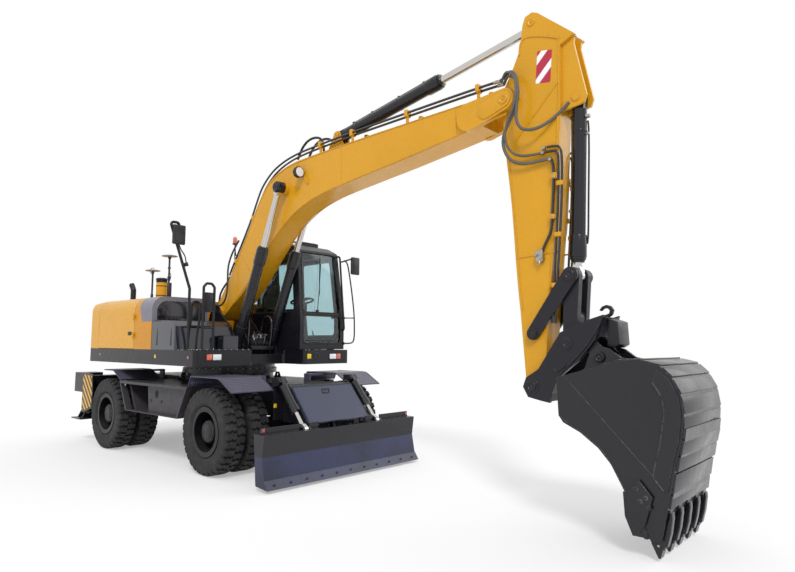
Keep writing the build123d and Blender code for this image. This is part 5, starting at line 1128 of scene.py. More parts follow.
class EXCAVATOR_OT_cab(bpy.types.Operator):
    """Window seals, wiper, screen bars, beacon, door handle, roof fittings and rear vents"""
    bl_idname = "excavator.cab"
    bl_label = "Cab details"

    def execute(self, context):
        seals = []
        windows = [((438, 2060), (1170, 2060), (1110, 2960), (438, 2960)),
                   ((438, 1600), (1175, 1600), (1175, 2010), (438, 2010))]
        for outline in windows:
            seals.append(bead([on_screen(1, y, z) for y, z in corners_cut(outline, 60)], 9))
        side = corners_cut([(240, 1720), (1000, 1720), (1000, 1950), (935, 2880), (240, 2880)], 60)
        rear_left = corners_cut([(-420, 2080), (70, 2080), (70, 2940), (-420, 2940)], 60)
        right = corners_cut([(-380, 2060), (1020, 2060), (950, 2950), (-380, 2950)], 60)
        back = corners_cut([(468, 2150), (1100, 2150), (1080, 2900), (468, 2900)], 60)
        seals += [bead([(x, cab_side_y(z) + 1, z) for x, z in rear_left], 8),
                  bead([(x, 384, z) for x, z in right], 7),
                  bead([(-521, y, z) for y, z in back], 8)]
        finish(seals, "window_seals", UPPER, SEAL)
        door_seal = bead([(x, cab_side_y(z) + 1, z) for x, z in side], 8)
        handle = [block((880, 1236, 1985), (990, 1262, 2017), 8, 3),
                  rod((960, 1236, 1960), (960, 1256, 1960), 14, 20, 2),
                  tube([(250, 1222, 1990), (250, 1186, 1990), (250, 1180, 2050), (250, 1160, 2400),
                        (250, 1150, 2460)], 11)]
        finish([door_seal, *handle], "door_seal_and_handle", "cab_door", PLASTIC)
        wiper = [tube([on_screen(16, 700, 2086), on_screen(22, 712, 2200), on_screen(14, 770, 2520),
                       on_screen(8, 806, 2800)], 6),
                 tube([on_screen(5, 760, 2330), on_screen(5, 776, 2600), on_screen(5, 800, 2900)],
                      7, 2, 2), rod(on_screen(-4, 700, 2080), on_screen(26, 700, 2080), 22, 24, 3)]
        finish(wiper, "screen_wiper", UPPER, PLASTIC)
        bars = [tube([on_screen(4, 440, 2036), on_screen(4, 1180, 2036)], 10, 2, 2),
                block((1168, 900, 1560), (1180, 1000, 1578), 4),
                tube([(1176, 520, 1640), (1196, 540, 1640), (1196, 1060, 1640), (1176, 1080, 1640)],
                     8)]
        finish(bars, "screen_bars", UPPER, DARK)
        gutter = [tube([(-430, 1150, 3072), (0, 1130, 3100), (800, 1130, 3080), (1050, 1142, 2990)],
                       9),
                  tube([(-430, 420, 3060), (0, 410, 3096), (860, 410, 3074), (1060, 410, 2990)], 9)]
        hatch = corners_cut([(330, CAB_MIDDLE_Y - 230), (820, CAB_MIDDLE_Y - 230),
                             (820, CAB_MIDDLE_Y + 170), (330, CAB_MIDDLE_Y + 170)], 50)
        lip = bead([(x, y, 3154) for x, y in hatch], 7)
        hinge = [rod((x, CAB_MIDDLE_Y - 236, 3144), (x + 90, CAB_MIDDLE_Y - 236, 3144), 11, 18, 2)
                 for x in (400, 660)]
        ribs = [block((x, CAB_MIDDLE_Y - 330, 3108), (x + 40, CAB_MIDDLE_Y + 300, 3117), 4)
                for x in (-300, -180, -60, 60)]
        finish([lip, *gutter, *hinge, *ribs], "roof_fittings", UPPER, DARK)
        x, y = -590, 396
        foot = [tube([(-515, 470, 3000), (x + 10, y + 30, 3030), (x, y + 4, 3080), (x, y, 3240)],
                     11), rod((x, y, 3226), (x, y, 3248), 42, 32, 4),
                tube([(-520, 430, 2700), (x, y, 2780), (x, y, 3100)], 9)]
        finish(foot, "beacon_post", UPPER, PLASTIC)
        dome = spun([(0, 0.5), (0, 36), (10, 38), (82, 36), (104, 28), (112, 12), (114, 0.5)],
                    (x, y, 3248), "Z", 40)
        finish(dome, "beacon_dome", UPPER, AMBER)
        vents = [block((-524, 560 + 60 * i, 1720), (-518, 596 + 60 * i, 1960), 4) for i in range(8)]
        finish(vents, "cab_rear_vents", UPPER, PLASTIC)
        return {"FINISHED"}


def corners_cut(outline, radius):
    """An outline whose corners are rounded by arcs of four steps."""
    points = []
    count = len(outline)
    for index, corner in enumerate(outline):
        here = Vector(corner)
        before = (Vector(outline[index - 1]) - here).normalized()
        after = (Vector(outline[(index + 1) % count]) - here).normalized()
        start, end = here + before * radius, here + after * radius
        for step in range(5):
            t = step / 4
            points.append(tuple(start * (1 - t) ** 2 + here * 2 * t * (1 - t) + end * t ** 2))
    return points


class EXCAVATOR_OT_interior(bpy.types.Operator):
    """Monitor, joysticks, arm rests, pedals, mat, steering hub, rear console and sun blind"""
    bl_idname = "excavator.interior"
    bl_label = "Cab interior"

    def execute(self, context):
        middle = CAB_MIDDLE_Y
        sticks = []
        for y in (middle - 287, middle + 272):
            sticks += [tube([(330, y, 2120), (338, y, 2180), (352, y, 2230)], 11),
                       rod((350, y, 2222), (366, y, 2300), 20, 20, 8, 25),
                       spun([(0, 14), (0, 34), (14, 38), (40, 18), (42, 14)], (330, y, 2118), "Z",
                            24), block((-90, y - 38, 2124), (250, y + 38, 2160), 16, 3)]
        sticks += [block((724, middle - 26 + dy, 1566), (850, middle + 26 + dy, 1582), 8)
                   for dy in (-130, 130)]
        sticks += [tube([(860, middle + dy, 1570), (820, middle + dy, 1680),
                         (780, middle + dy, 1790)], 9) for dy in (-130, 130)]
        sticks.append(block((-120, 440, 1556), (1040, 1180, 1562), 4))
        finish(sticks, "controls", UPPER, TRIM)
        monitor = [block((960, 452, 2066), (1006, 640, 2196), 14, 3),
                   tube([(984, 540, 1980), (984, 540, 2070)], 16)]
        finish(monitor, "monitor", UPPER, PLASTIC)
        finish(block((952, 466, 2080), (960, 626, 2184), 2), "monitor_screen", UPPER, GLASS_BLACK)
        hub = [rod((666, middle, 2248), (690, middle, 2258), 44, 28, 5),
               rod((640, middle, 2150), (760, middle, 2156), 6, 12)]
        finish(hub, "steering_hub", UPPER, PLASTIC)
        wall = [block((-460, 440, 1562), (-300, 1170, 1980), 30, 3),
                block((-300, 470, 1562), (-110, 540, 1700), 20, 3)]
        finish(wall, "rear_console", UPPER, TRIM)
        blind = rod((1040, 450, 2960), (1040, 1090, 2960), 26, 24, 3)
        finish(blind, "sun_blind", UPPER, CLOTH)
        return {"FINISHED"}


def cushion(low, high, crown):
    """Closed pad between two corners, swollen by cloth pressure to at most crown millimetres."""
    pad = block(low, high, 26, 3)
    only(pad)
    modify(pad, "REMESH", mode="VOXEL", voxel_size=0.006)
    before = [vertex.co.copy() for vertex in pad.data.vertices]
    cloth = pad.modifiers.new("swell", "CLOTH")
    cloth.settings.use_pressure = True
    cloth.settings.uniform_pressure_force = 4.0
    cloth.settings.effector_weights.gravity = 0
    cloth.settings.mass = 0.3
    scene = bpy.context.scene
    for number in range(1, 21):
        scene.frame_set(number)
    only(pad)
    bpy.ops.object.modifier_apply(modifier=cloth.name)
    scene.frame_set(1)
    for vertex, start in zip(pad.data.vertices, before):
        move = vertex.co - start
        if move.length > crown * MM:
            vertex.co = start + move.normalized() * crown * MM
    return pad


def upholster(pad, axis, bolster_from, seam_from, rise):
    """Raises a pad's two side bolsters along an axis and sinks the seams beside them."""
    for vertex in pad.data.vertices:
        across = abs(vertex.co.y - CAB_MIDDLE_Y * MM) / MM - 128
        side, channel = across / 78, abs(across)
        if side > 0 and vertex.co[axis] > bolster_from:
            vertex.co[axis] += rise * min(1, side) * (2 - min(1, side)) * MM
        if channel < 9 and vertex.co[axis] > seam_from:
            vertex.co[axis] -= 8 * (1 - channel / 9) * MM


class EXCAVATOR_OT_seat(bpy.types.Operator):
    """Operator's seat: padded cushion and back with bolsters, head rest, pan and belt buckles"""
    bl_idname = "excavator.seat"
    bl_label = "Operator's seat"

    def execute(self, context):
        middle = CAB_MIDDLE_Y
        base = cushion((-30, middle - 205, 1905), (398, middle + 205, 1990), 14)
        upholster(base, 2, 1.95, 1.94, 20)
        base = modify(base, "SUBSURF", levels=1, render_levels=1)
        finish(base, "seat_cushion", UPPER, CLOTH, 60)
        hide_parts("operator_seat")
        back = cushion((-168, middle - 205, 2010), (-72, middle + 205, 2580), 14)
        upholster(back, 0, -2.115, -2.12, 22)
        for vertex in back.data.vertices:
            if abs(vertex.co.y - middle * MM) / MM < 128 and vertex.co.x > -2.12:
                for height in (2200, 2390):
                    seam = abs(vertex.co.z / MM - height)
                    if seam < 9:
                        vertex.co.x -= 7 * (1 - seam / 9) * MM
        turn = Matrix.Translation(at(-110, middle, 2010)) @ Matrix.Rotation(radians(-8), 4, "Y")
        back.data.transform(turn @ Matrix.Translation(-at(-110, middle, 2010)))
        back = modify(back, "SUBSURF", levels=1, render_levels=1)
        finish(back, "seat_back", UPPER, CLOTH, 60)
        head = cushion((-222, middle - 120, 2560), (-150, middle + 120, 2650), 8)
        head = modify(head, "SUBSURF", levels=1, render_levels=1)
        finish(head, "seat_head_rest", UPPER, CLOTH, 60)
        shell = [plate([(-190, 1930), (-150, 1912), (-62, 1900), (360, 1890), (372, 1904),
                        (-60, 1912), (-128, 1950), (-150, 2060), (-214, 2560), (-236, 2556),
                        (-176, 2050)], "Y", middle - 215, middle + 215, 8, 3),
                 block((-40, middle - 190, 1893), (350, middle + 190, 1908), 5)]
        finish(shell, "seat_pan", UPPER, PLASTIC)
        belts = [tube([(-90, middle + s * 222, 1925), (-60, middle + s * 232, 1990),
                       (-20, middle + s * 226, 2040)], 14) for s in (1, -1)]
        finish(belts, "belt_buckles", UPPER, PLASTIC)
        return {"FINISHED"}


# ---------------------------------------------------------------- working gear
BOOM_PIPE_ROWS = ((112, 0), (150, 34))
UNION_ROWS = (-96, -32, 32, 96)
TOOTH_ROWS = (-430, -215, 0, 215, 430)


def pin_cap(x, z, face_y, radius, height=14):
    """Dished end plate of a pin with its keeper bolts, on the left side."""
    cap = spun([(-3, 0.5), (height * 0.5, 0.5), (height * 0.5, radius * 0.45),
                (height, radius * 0.6), (height, radius * 0.9), (height * 0.7, radius),
                (-3, radius)], (x, face_y, z), "Y", 40)
    keeper = bolt((x, face_y + height * 0.5, z), "Y", 1, max(7, radius * 0.2))
    return join(cap, keeper)


def weld(points, size=5):
    """Fillet weld or folded edge that stands proud along a line."""
    return tube(points, size, 2, 2)


def clamp_block(x, y_low, y_high, z_low, z_high):
    """Pipe clamp: two halves on a welded foot with a bolt on top."""
    half, foot, y = 23, 46 / 3, (y_low + y_high) / 2
    return join(block((x - half, y_low, z_low), (x + half, y_high, z_high), 7, 3),
                block((x - foot, y - 12, z_low - 70), (x + foot, y + 12, z_low + 4), 3),
                bolt((x, y, z_high), "Z", 1, 9))


class EXCAVATOR_OT_boom(bpy.types.Operator):
    """Boom's pin caps, welds, flange edges, oil pipes with their clamps, hoses and work lamp"""
    bl_idname = "excavator.boom"
    bl_label = "Boom details"

    def execute(self, context):
        caps = [pin_cap(4984, 4034, 214, 52), pin_cap(2400, 4285, 92, 44, 10)]
        doubler = [plate(strap_outline((4770, 3975), 92, (4984, 4034), 84), "Y", 209, 219, 3)]
        ribs = [plate([(4484, 3838), (4500, 3872), (4984, 3908), (5010, 3892), (4984, 3876),
                       (4510, 3838)], "Y", 168, 182, 4)]
        finish_both([*caps, *doubler, *ribs], "boom_pin_caps", "boom", PAINT)
        seams = [weld([(4366, 171, 4116), (4380, 171, 3804)], 5),
                 weld([(2590, 171, 4085), (2600, 171, 3590)], 4),
                 weld([(424, 171, 2925), (760, 171, 2570)], 4)]
        finish_both(seams, "boom_seams", "boom", PAINT)
        edge = [(231, 2652), (600, 3182), (860, 3612), (1060, 3838), (1330, 3977), (1700, 4054),
                (3181, 4102), (4444, 4122)]
        flange = tube([(x, 172, z) for x, z in edge], 6, 3, 2, 10)
        low_edge = [(258, 2163), (628, 2433), (1000, 2823), (1374, 3183), (1798, 3423),
                    (2201, 3530), (2579, 3583), (3584, 3699), (4403, 3807)]
        finish_both([flange, tube([(x, 172, z) for x, z in low_edge], 6, 3, 2, 10)],
                    "boom_flange_edges", "boom", PAINT)
        radius = pipe_mm()
        pipes = []
        for y, lift in BOOM_PIPE_ROWS:
            run = [(150, 2590), (205, 2685), (390, 2945), (570, 3212), (700, 3420), (815, 3640),
                   (905, 3790), (1020, 3900), (1160, 4000), (1330, 4070), (1560, 4128),
                   (1850, 4160), (2300, 4182), (2750, 4200), (3655, 4219), (4639, 4239),
                   (4870, 4236)]
            pipes.append(tube([(x - lift * 0.6, y, z + lift * 0.75) for x, z in run], radius, 3, 3,
                              8))
        finish_both(pipes, "boom_pipes", "boom", PIPE)
        places = ((2150, 4176), (2750, 4200), (3655, 4219), (4639, 4239))
        tops = [clamp_block(x, 92, 170, z - 20, z + 64) for x, z in places]
        finish_both(tops, "boom_pipe_clamps", "boom", PAINT)
        low_clamps = []
        for x, z in ((300, 2818), (700, 3420)):
            low_clamps.append(plate([(x - 46, z - 8), (x + 2, z - 42), (x + 36, z + 2),
                                     (x - 12, z + 36)], "Y", 92, 170, 6))
        finish_both(low_clamps, "boom_side_clamps", "boom", PAINT)
        ends = []
        for y, lift in BOOM_PIPE_ROWS:
            x0, z0 = 4864 - lift * 0.6, 4236 + lift * 0.75
            ends += [rod((x0, y, z0), (x0 + 34, y, z0), radius * 1.5, 6, 2),
                     rod((x0 + 30, y, z0), (x0 + 74, y, z0 - 3), radius * 1.3, 18, 3)]
        finish_both(ends, "boom_pipe_fittings", "boom", ZINC)
        hose = hose_mm()
        loops = []
        for y, drop in ((112, 0), (150, 40)):
            loops.append(tube([(150 - drop * 0.1, y, 2592), (118, y, 2535),
                               (60 - drop, y + 20, 2450), (-30 - drop, y + 30, 2330),
                               (-70 - drop, y + 10, 2230), (-120 - drop * 0.5, y, 2185)], hose, 3,
                              3, 8))
        finish_both(loops, "boom_foot_hoses", "boom", HOSE)
        side_loop = tube([(402, -184, 3114), (330, -205, 3010), (262, -232, 2860),
                          (240, -256, 2700), (262, -264, 2500), (255, -266, 2330),
                          (190, -266, 2200), (90, -264, 2148), (-20, -256, 2160),
                          (-60, -228, 2200)], hose * 0.9, 3, 3, 8)
        finish(side_loop, "boom_side_hose", "boom", HOSE)
        arcs = [tube([(x0, y, 4130), (x0 + 60, y, 4250), (x0 + 190, y, 4352), (x0 + 340, y, 4372),
                      (x0 + 480, y, 4330), (x0 + 540, y, 4220), (x0 + 545, y, 4110)], hose * 1.1)
                for x0, y in ((1590, -62), (1660, 62))]
        finish(arcs, "arm_cylinder_feed_hoses", "boom", HOSE)
        case = spun([(-52, 0.5), (-52, 40), (-30, 74), (22, 80), (30, 76), (30, 66), (24, 62),
                     (24, 0.5)], (1857, -262, 3861), "X", 8)
        holder = [plate([(1700, 4012), (1722, 4030), (1968, 3712), (1946, 3694)], "Y", -182, -168,
                        3), rod((1835, -176, 3861), (1835, -214, 3861), 26, 20, 3),
                  bolt((1722, -182, 3996), "Y", -1, 11), bolt((1946, -182, 3726), "Y", -1, 11)]
        finish(holder, "work_lamp_bracket", "boom", PAINT)
        finish(case, "work_lamp_case", "boom", PLASTIC)
        glass = spun([(0, 0.5), (0, 62), (6, 62), (10, 0.5)], (1882, -262, 3861), "X", 40)
        finish(glass, "work_lamp_lens", "boom", CLEAR)
        return {"FINISHED"}


def strap_outline(start, start_radius, end, end_radius):
    """Outline of a flat link: two round ends joined by straight sides."""
    heading = atan2(end[1] - start[1], end[0] - start[0])
    points = []
    for centre, radius, turn in ((end, end_radius, -pi / 2), (start, start_radius, pi / 2)):
        for step in range(11):
            angle = heading + turn + pi * step / 10
            points.append((centre[0] + radius * cos(angle), centre[1] + radius * sin(angle)))
    return points


class EXCAVATOR_OT_arm(bpy.types.Operator):
    """Arm's welds, striped plate, pin caps, oil pipes, clamps and couplings"""
    bl_idname = "excavator.arm"
    bl_label = "Arm details"

    def execute(self, context):
        y = 121
        head = [(5118, 4470), (5124, 4560), (5142, 4606), (5172, 4632), (5250, 4630), (5420, 4572),
                (5552, 4505)]
        straight = [[(5540, 4505), (5536, 4061), (5508, 3555)], [(5523, 4073), (5067, 3609)],
                    [(5060, 2440), (5500, 2465)]]
        rear = [(4978, 3541), (5032, 3071), (5080, 2419), (5124, 1930)]
        front = [(5358, 1620), (5412, 2245), (5470, 2945), (5500, 3540)]
        seams = [tube([(x, y, z) for x, z in head], 9, 3, 2, 8)]
        seams += [weld([(x, y, z) for x, z in line], 8) for line in straight]
        seams += [tube([(x, y, z) for x, z in line], size, 3, 2, 8)
                  for line, size in ((rear, 6), (front, 5))]
        finish_both(seams, "arm_seams", "arm", PAINT)
        film = plate([(5296, 4131), (5451, 4107), (5475, 4420), (5320, 4451)], "Y", 120.5, 122.5, 0)
        finish_both([film], "arm_striped_film", "arm", ARM_FILM)
        caps = [pin_cap(5690, 3905, 88, 44, 10), pin_cap(5255, 4775, 120, 42, 10)]
        finish_both(caps, "arm_pin_caps", "arm", PAINT)
        dark_caps = [pin_cap(5240, 1219, 196, 50, 12), pin_cap(5246, 1708, 178, 48, 10)]
        finish_both(dark_caps, "arm_lower_pin_caps", "arm", GEAR)
        radius = pipe_mm()
        side = [tube([(5466, 152, 3332), (5480, 150, 3290), (5483, 146, 3170), (5470, 144, 2958),
                      (5452, 144, 2720), (5440, 146, 2640), (5400, 150, 2570), (5368, 150, 2508),
                      (5350, 150, 2470)], radius, 3, 3, 8)]
        for index, dz in enumerate((0, -45)):
            side.append(tube([(5420 - 12 * index, 148, 3465 + dz), (5500, 148, 3462 + dz),
                              (5556 - 30 * index, 146, 3440 + dz), (5566 - 34 * index, 140, 3330),
                              (5556 - 34 * index, 136, 3000), (5520 - 34 * index, 136, 2500),
                              (5480 - 30 * index, 136, 2000), (5462 - 30 * index, 136, 1800)],
                             radius * 0.85, 3, 3, 8))
        finish_both(side, "arm_pipes", "arm", PIPE)
        clamps = [block((5458, 122, 3150), (5508, 172, 3205), 7, 3),
                  block((5440, 122, 2770), (5490, 172, 2815), 7, 3)]
        clamps += [block((x - 56, 122, z - 22), (x + 8, 160, z + 22), 6, 3)
                   for x, z in ((5566, 3100), (5534, 2620), (5496, 2150))]
        finish_both(clamps, "arm_pipe_clamps", "arm", PAINT)
        bolts = [bolt((x, 172, z), "Y", 1, 8)
                 for x, z in ((5483, 3162), (5483, 3193), (5465, 2792))]
        ends = [rod((5404 - 12 * i, 148, 3465 - 45 * i), (5372 - 12 * i, 148, 3462 - 45 * i),
                    radius * 1.5, 6, 2) for i in (0, 1)]
        ends.append(rod((5466, 152, 3330), (5440, 152, 3346), radius * 1.6, 6, 2))
        valve = [block((5290, 120, 2380), (5362, 168, 2490), 6, 3),
                 rod((5326, 160, 2380), (5326, 160, 2350), 14, 6, 2),
                 rod((5300, 166, 2440), (5300, 184, 2440), 14, 6, 2),
                 rod((5340, 166, 2412), (5340, 184, 2412), 14, 6, 2)]
        finish_both([*bolts, *ends, *valve], "arm_couplings", "arm", ZINC)
        finish([bolt((5690, dy, 4498), "Z", 1, 9) for dy in (-70, 70)], "arm_top_bolts", "arm",
               ZINC)
        return {"FINISHED"}


class EXCAVATOR_OT_hoses(bpy.types.Operator):
    """Hoses that loop from the boom's tip to the arm and to the bucket cylinder"""
    bl_idname = "excavator.hoses"
    bl_label = "Boom to arm hoses"

    def execute(self, context):
        radius = hose_mm()
        outer = [(4936, 112, 4234), (4975, 150, 4250), (5040, 205, 4262), (5130, 236, 4215),
                 (5178, 240, 4080), (5150, 240, 3900), (5060, 236, 3770), (4985, 228, 3640),
                 (4978, 210, 3530), (5030, 190, 3410), (5150, 168, 3345), (5300, 156, 3340),
                 (5442, 152, 3346)]
        middle = [(4930, 150, 4240), (4985, 200, 4285), (5060, 252, 4285), (5150, 272, 4210),
                  (5172, 272, 4060), (5130, 270, 3880), (5050, 262, 3760), (5010, 240, 3640),
                  (5020, 205, 3530), (5090, 175, 3450), (5200, 155, 3418), (5362, 148, 3418)]
        cylinder = [(4906, 131, 4269), (4980, 150, 4300), (5080, 215, 4300), (5160, 246, 4200),
                    (5176, 252, 4040), (5150, 252, 3880), (5150, 248, 3750), (5200, 236, 3665),
                    (5300, 216, 3642), (5400, 180, 3670), (5500, 130, 3745), (5590, 100, 3830),
                    (5622, 92, 3868)]
        routes = (("outer", outer, 1.05), ("middle", middle, 0.85), ("cylinder", cylinder, 1.05))
        start, end = at(5060, 0, 4250), at(5120, 0, 3560)
        for side, turn in (("left", None), ("right", MIRROR_Y)):
            for name, route, share in routes:
                hose = tube(route, radius * share, 3, 4, 10)
                if turn is not None:
                    left_hose, hose = hose, copy_of(hose, turn)
                    bpy.data.objects.remove(left_hose)
                hose = dress(hose, f"arm_hose_{name}_{side}", SLEEVE, 60)
                tuple(start)
                tuple(end)
                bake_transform(hose)
        return {"FINISHED"}


def along_line(start, end, distance):
    """Point (x, z) at a distance from start on the way to end."""
    span = hypot(end[0] - start[0], end[1] - start[1])
    return tuple(s + (e - s) * distance / span for s, e in zip(start, end))


def cylinder_trim(base, end, y, outer, length, collar, lines=True):
    """One barrel's gland with its bolts, end bosses and the oil line with its bands."""
    span = hypot(end[0] - base[0], end[1] - base[1])
    nx, nz = -(end[1] - base[1]) / span, (end[0] - base[0]) / span

    def place(distance, off=0.0):
        x, z = along_line(base, end, distance)
        return (x + nx * off, y, z + nz * off)

    def lump(distance, off, half_x, half_y, edge, segments=2):
        x, _, z = place(distance, off)
        return block((x - half_x, y - half_y, z - half_x), (x + half_x, y + half_y, z + half_x),
                     edge, segments)

    parts = [rod(place(length - collar), place(length - 20), outer + 12, 40, 6),
             rod(place(length - 30), place(length + 26), outer - 6, 40, 5),
             rod(place(length * 0.2), place(length * 0.2 + 20), outer + 4, 40, 2)]
    for index in range(8):
        turn = 2 * pi * index / 8
        side = (outer - 8) * cos(turn)
        up = (outer - 8) * sin(turn)
        bx, _, bz = place(length - 2, up)
        tx, _, tz = place(length + 12, up)
        parts.append(rod((bx, y + side, bz), (tx, y + side, tz), 8, 6, 1))
    if lines:
        off = outer + 16
        first, last = length * 0.16, length - collar - 30
        parts.append(tube([place(first, outer - 4), place(first + 10, off), place(first + 60, off),
                           place(last - 50, off), place(last - 8, off), place(last, outer - 4)], 9,
                          3, 3, 6))
        for share in (0.35, 0.62):
            parts.append(rod(place(length * share), place(length * share + 14), outer + 3, 40, 1.5))
            parts.append(lump(length * share + 7, off, 14, 14, 4))
        parts += [lump(distance, outer + 2, 22, 24, 6, 3) for distance in (first, last)]
    return join(*parts)


class EXCAVATOR_OT_cylinders(bpy.types.Operator):
    """Glands, oil lines, bands and bosses on the hydraulic cylinders"""
    bl_idname = "excavator.cylinders"
    bl_label = "Cylinder details"

    def execute(self, context):
        boom = cylinder_trim((585, 1540), (1490, 3711), 290, 71, 1480, 230)
        finish_both([boom], "boom_cylinder_trim", "boom_cylinder_barrels", CYLINDER)
        arm = cylinder_trim((2400, 4285), (5255, 4775), 0, 75, 1660, 190)
        finish(arm, "arm_cylinder_trim", "arm_cylinder_barrel", CYLINDER)
        bucket = cylinder_trim((5690, 3905), (5628, 2234), 0, 67, 1520, 230, False)
        lines = [tube([(5640, 0, 3800), (5616, 0, 3780), (5605, 0, 3700), (5588, 0, 2700),
                       (5583, 0, 2560), (5600, 0, 2520)], 9),
                 tube([(5752, 26, 3690), (5764, 26, 3640), (5738, 26, 2900), (5728, 26, 2560),
                       (5716, 26, 2530)], 9)]
        finish([bucket, *lines], "bucket_cylinder_trim", "bucket_cylinder_barrel", CYLINDER)
        fittings = [rod((5740, 0, 3725), (5786, 0, 3725), 20, 6, 3),
                    rod((5760, -30, 3725), (5760, 30, 3725), 14, 6, 2),
                    rod((5735, 0, 3560), (5775, 0, 3560), 15, 6, 3),
                    rod((5560, 0, 3100), (5590, 0, 3100), 18, 6, 3),
                    rod((5560, 0, 2850), (5590, 0, 2850), 18, 6, 3)]
        finish(fittings, "bucket_cylinder_fittings", "bucket_cylinder_barrel", ZINC)
        eye = spun([(-46, 66), (-46, 80), (46, 80), (60, 74), (62, 66)], (1490, 290, 3711), "Y", 48)
        caps = [pin_cap(1490, 3711, 348, 66, 14), pin_cap(585, 1540, 362, 50, 10)]
        finish_both([eye, caps[0]], "boom_cylinder_rod_eyes", "boom_cylinder_rods", CYLINDER)
        finish_both([caps[1]], "boom_cylinder_base_caps", UPPER, DARK)
        return {"FINISHED"}


class EXCAVATOR_OT_valves(bpy.types.Operator):
    """Valve block with its four unions, oil pipes, cylinder feed hoses and boom foot's caps"""
    bl_idname = "excavator.valves"
    bl_label = "Valves and oil pipes"

    def execute(self, context):
        blocks = [block((640, -130, 1548), (740, 130, 1638), 8, 3),
                  block((660, -100, 1638), (720, 100, 1670), 5),
                  block((600, -160, 1503), (800, 160, 1548), 10, 3),
                  block((750, -190, 1504), (812, 190, 1560), 6)]
        blocks += [rod((740, y, 1593), (770, y, 1593), 20, 24, 4) for y in UNION_ROWS]
        finish(blocks, "valve_block", UPPER, GEAR)
        unions = []
        for y in UNION_ROWS:
            unions += [rod((700, y, 1666), (700, y, 1690), 19, 6, 2),
                       rod((700, y, 1688), (700, y, 1710), 15, 20, 3),
                       tube([(700, y, 1706), (702, y, 1720), (716, y, 1724), (740, y, 1720)], 11),
                       rod((738, y, 1720), (756, y, 1716), 15, 6, 2)]
        finish(unions, "valve_unions", UPPER, ZINC)
        radius = pipe_mm()
        pipes = [tube([(756, -96, 1716), (804, -106, 1710), (826, -140, 1670), (812, -184, 1630),
                       (770, -190, 1556)], radius),
                 tube([(756, 32, 1716), (800, 32, 1710), (822, 22, 1670), (820, 8, 1610),
                       (800, 4, 1556)], radius)]
        for side in (1, -1):
            pipes.append(tube([(700, side * 178, 1510), (722, side * 196, 1640),
                               (746, side * 197, 1850), (726, side * 197, 1960),
                               (640, side * 197, 2000), (540, side * 197, 1965),
                               (492, side * 197, 1850), (480, side * 197, 1780)], radius))
            pipes.append(tube([(640, side * 60, 1520), (560, side * 80, 1600),
                               (500, side * 90, 1690), (460, side * 80, 1770)], radius))
        finish(pipes, "valve_pipes", UPPER, PIPE)
        base = [tube([(560, side * 200, 1600), (540, side * 190, 1700), (470, side * 176, 1770),
                      (380, side * 150, 1750), (300, side * 130, 1650), (280, side * 130, 1520)],
                     hose_mm()) for side in (1, -1)]
        finish(base, "cylinder_feed_hoses", UPPER, HOSE)
        finish_both([pin_cap(-90, 2055, 242, 56, 12)], "boom_foot_caps", UPPER, DARK)
        return {"FINISHED"}


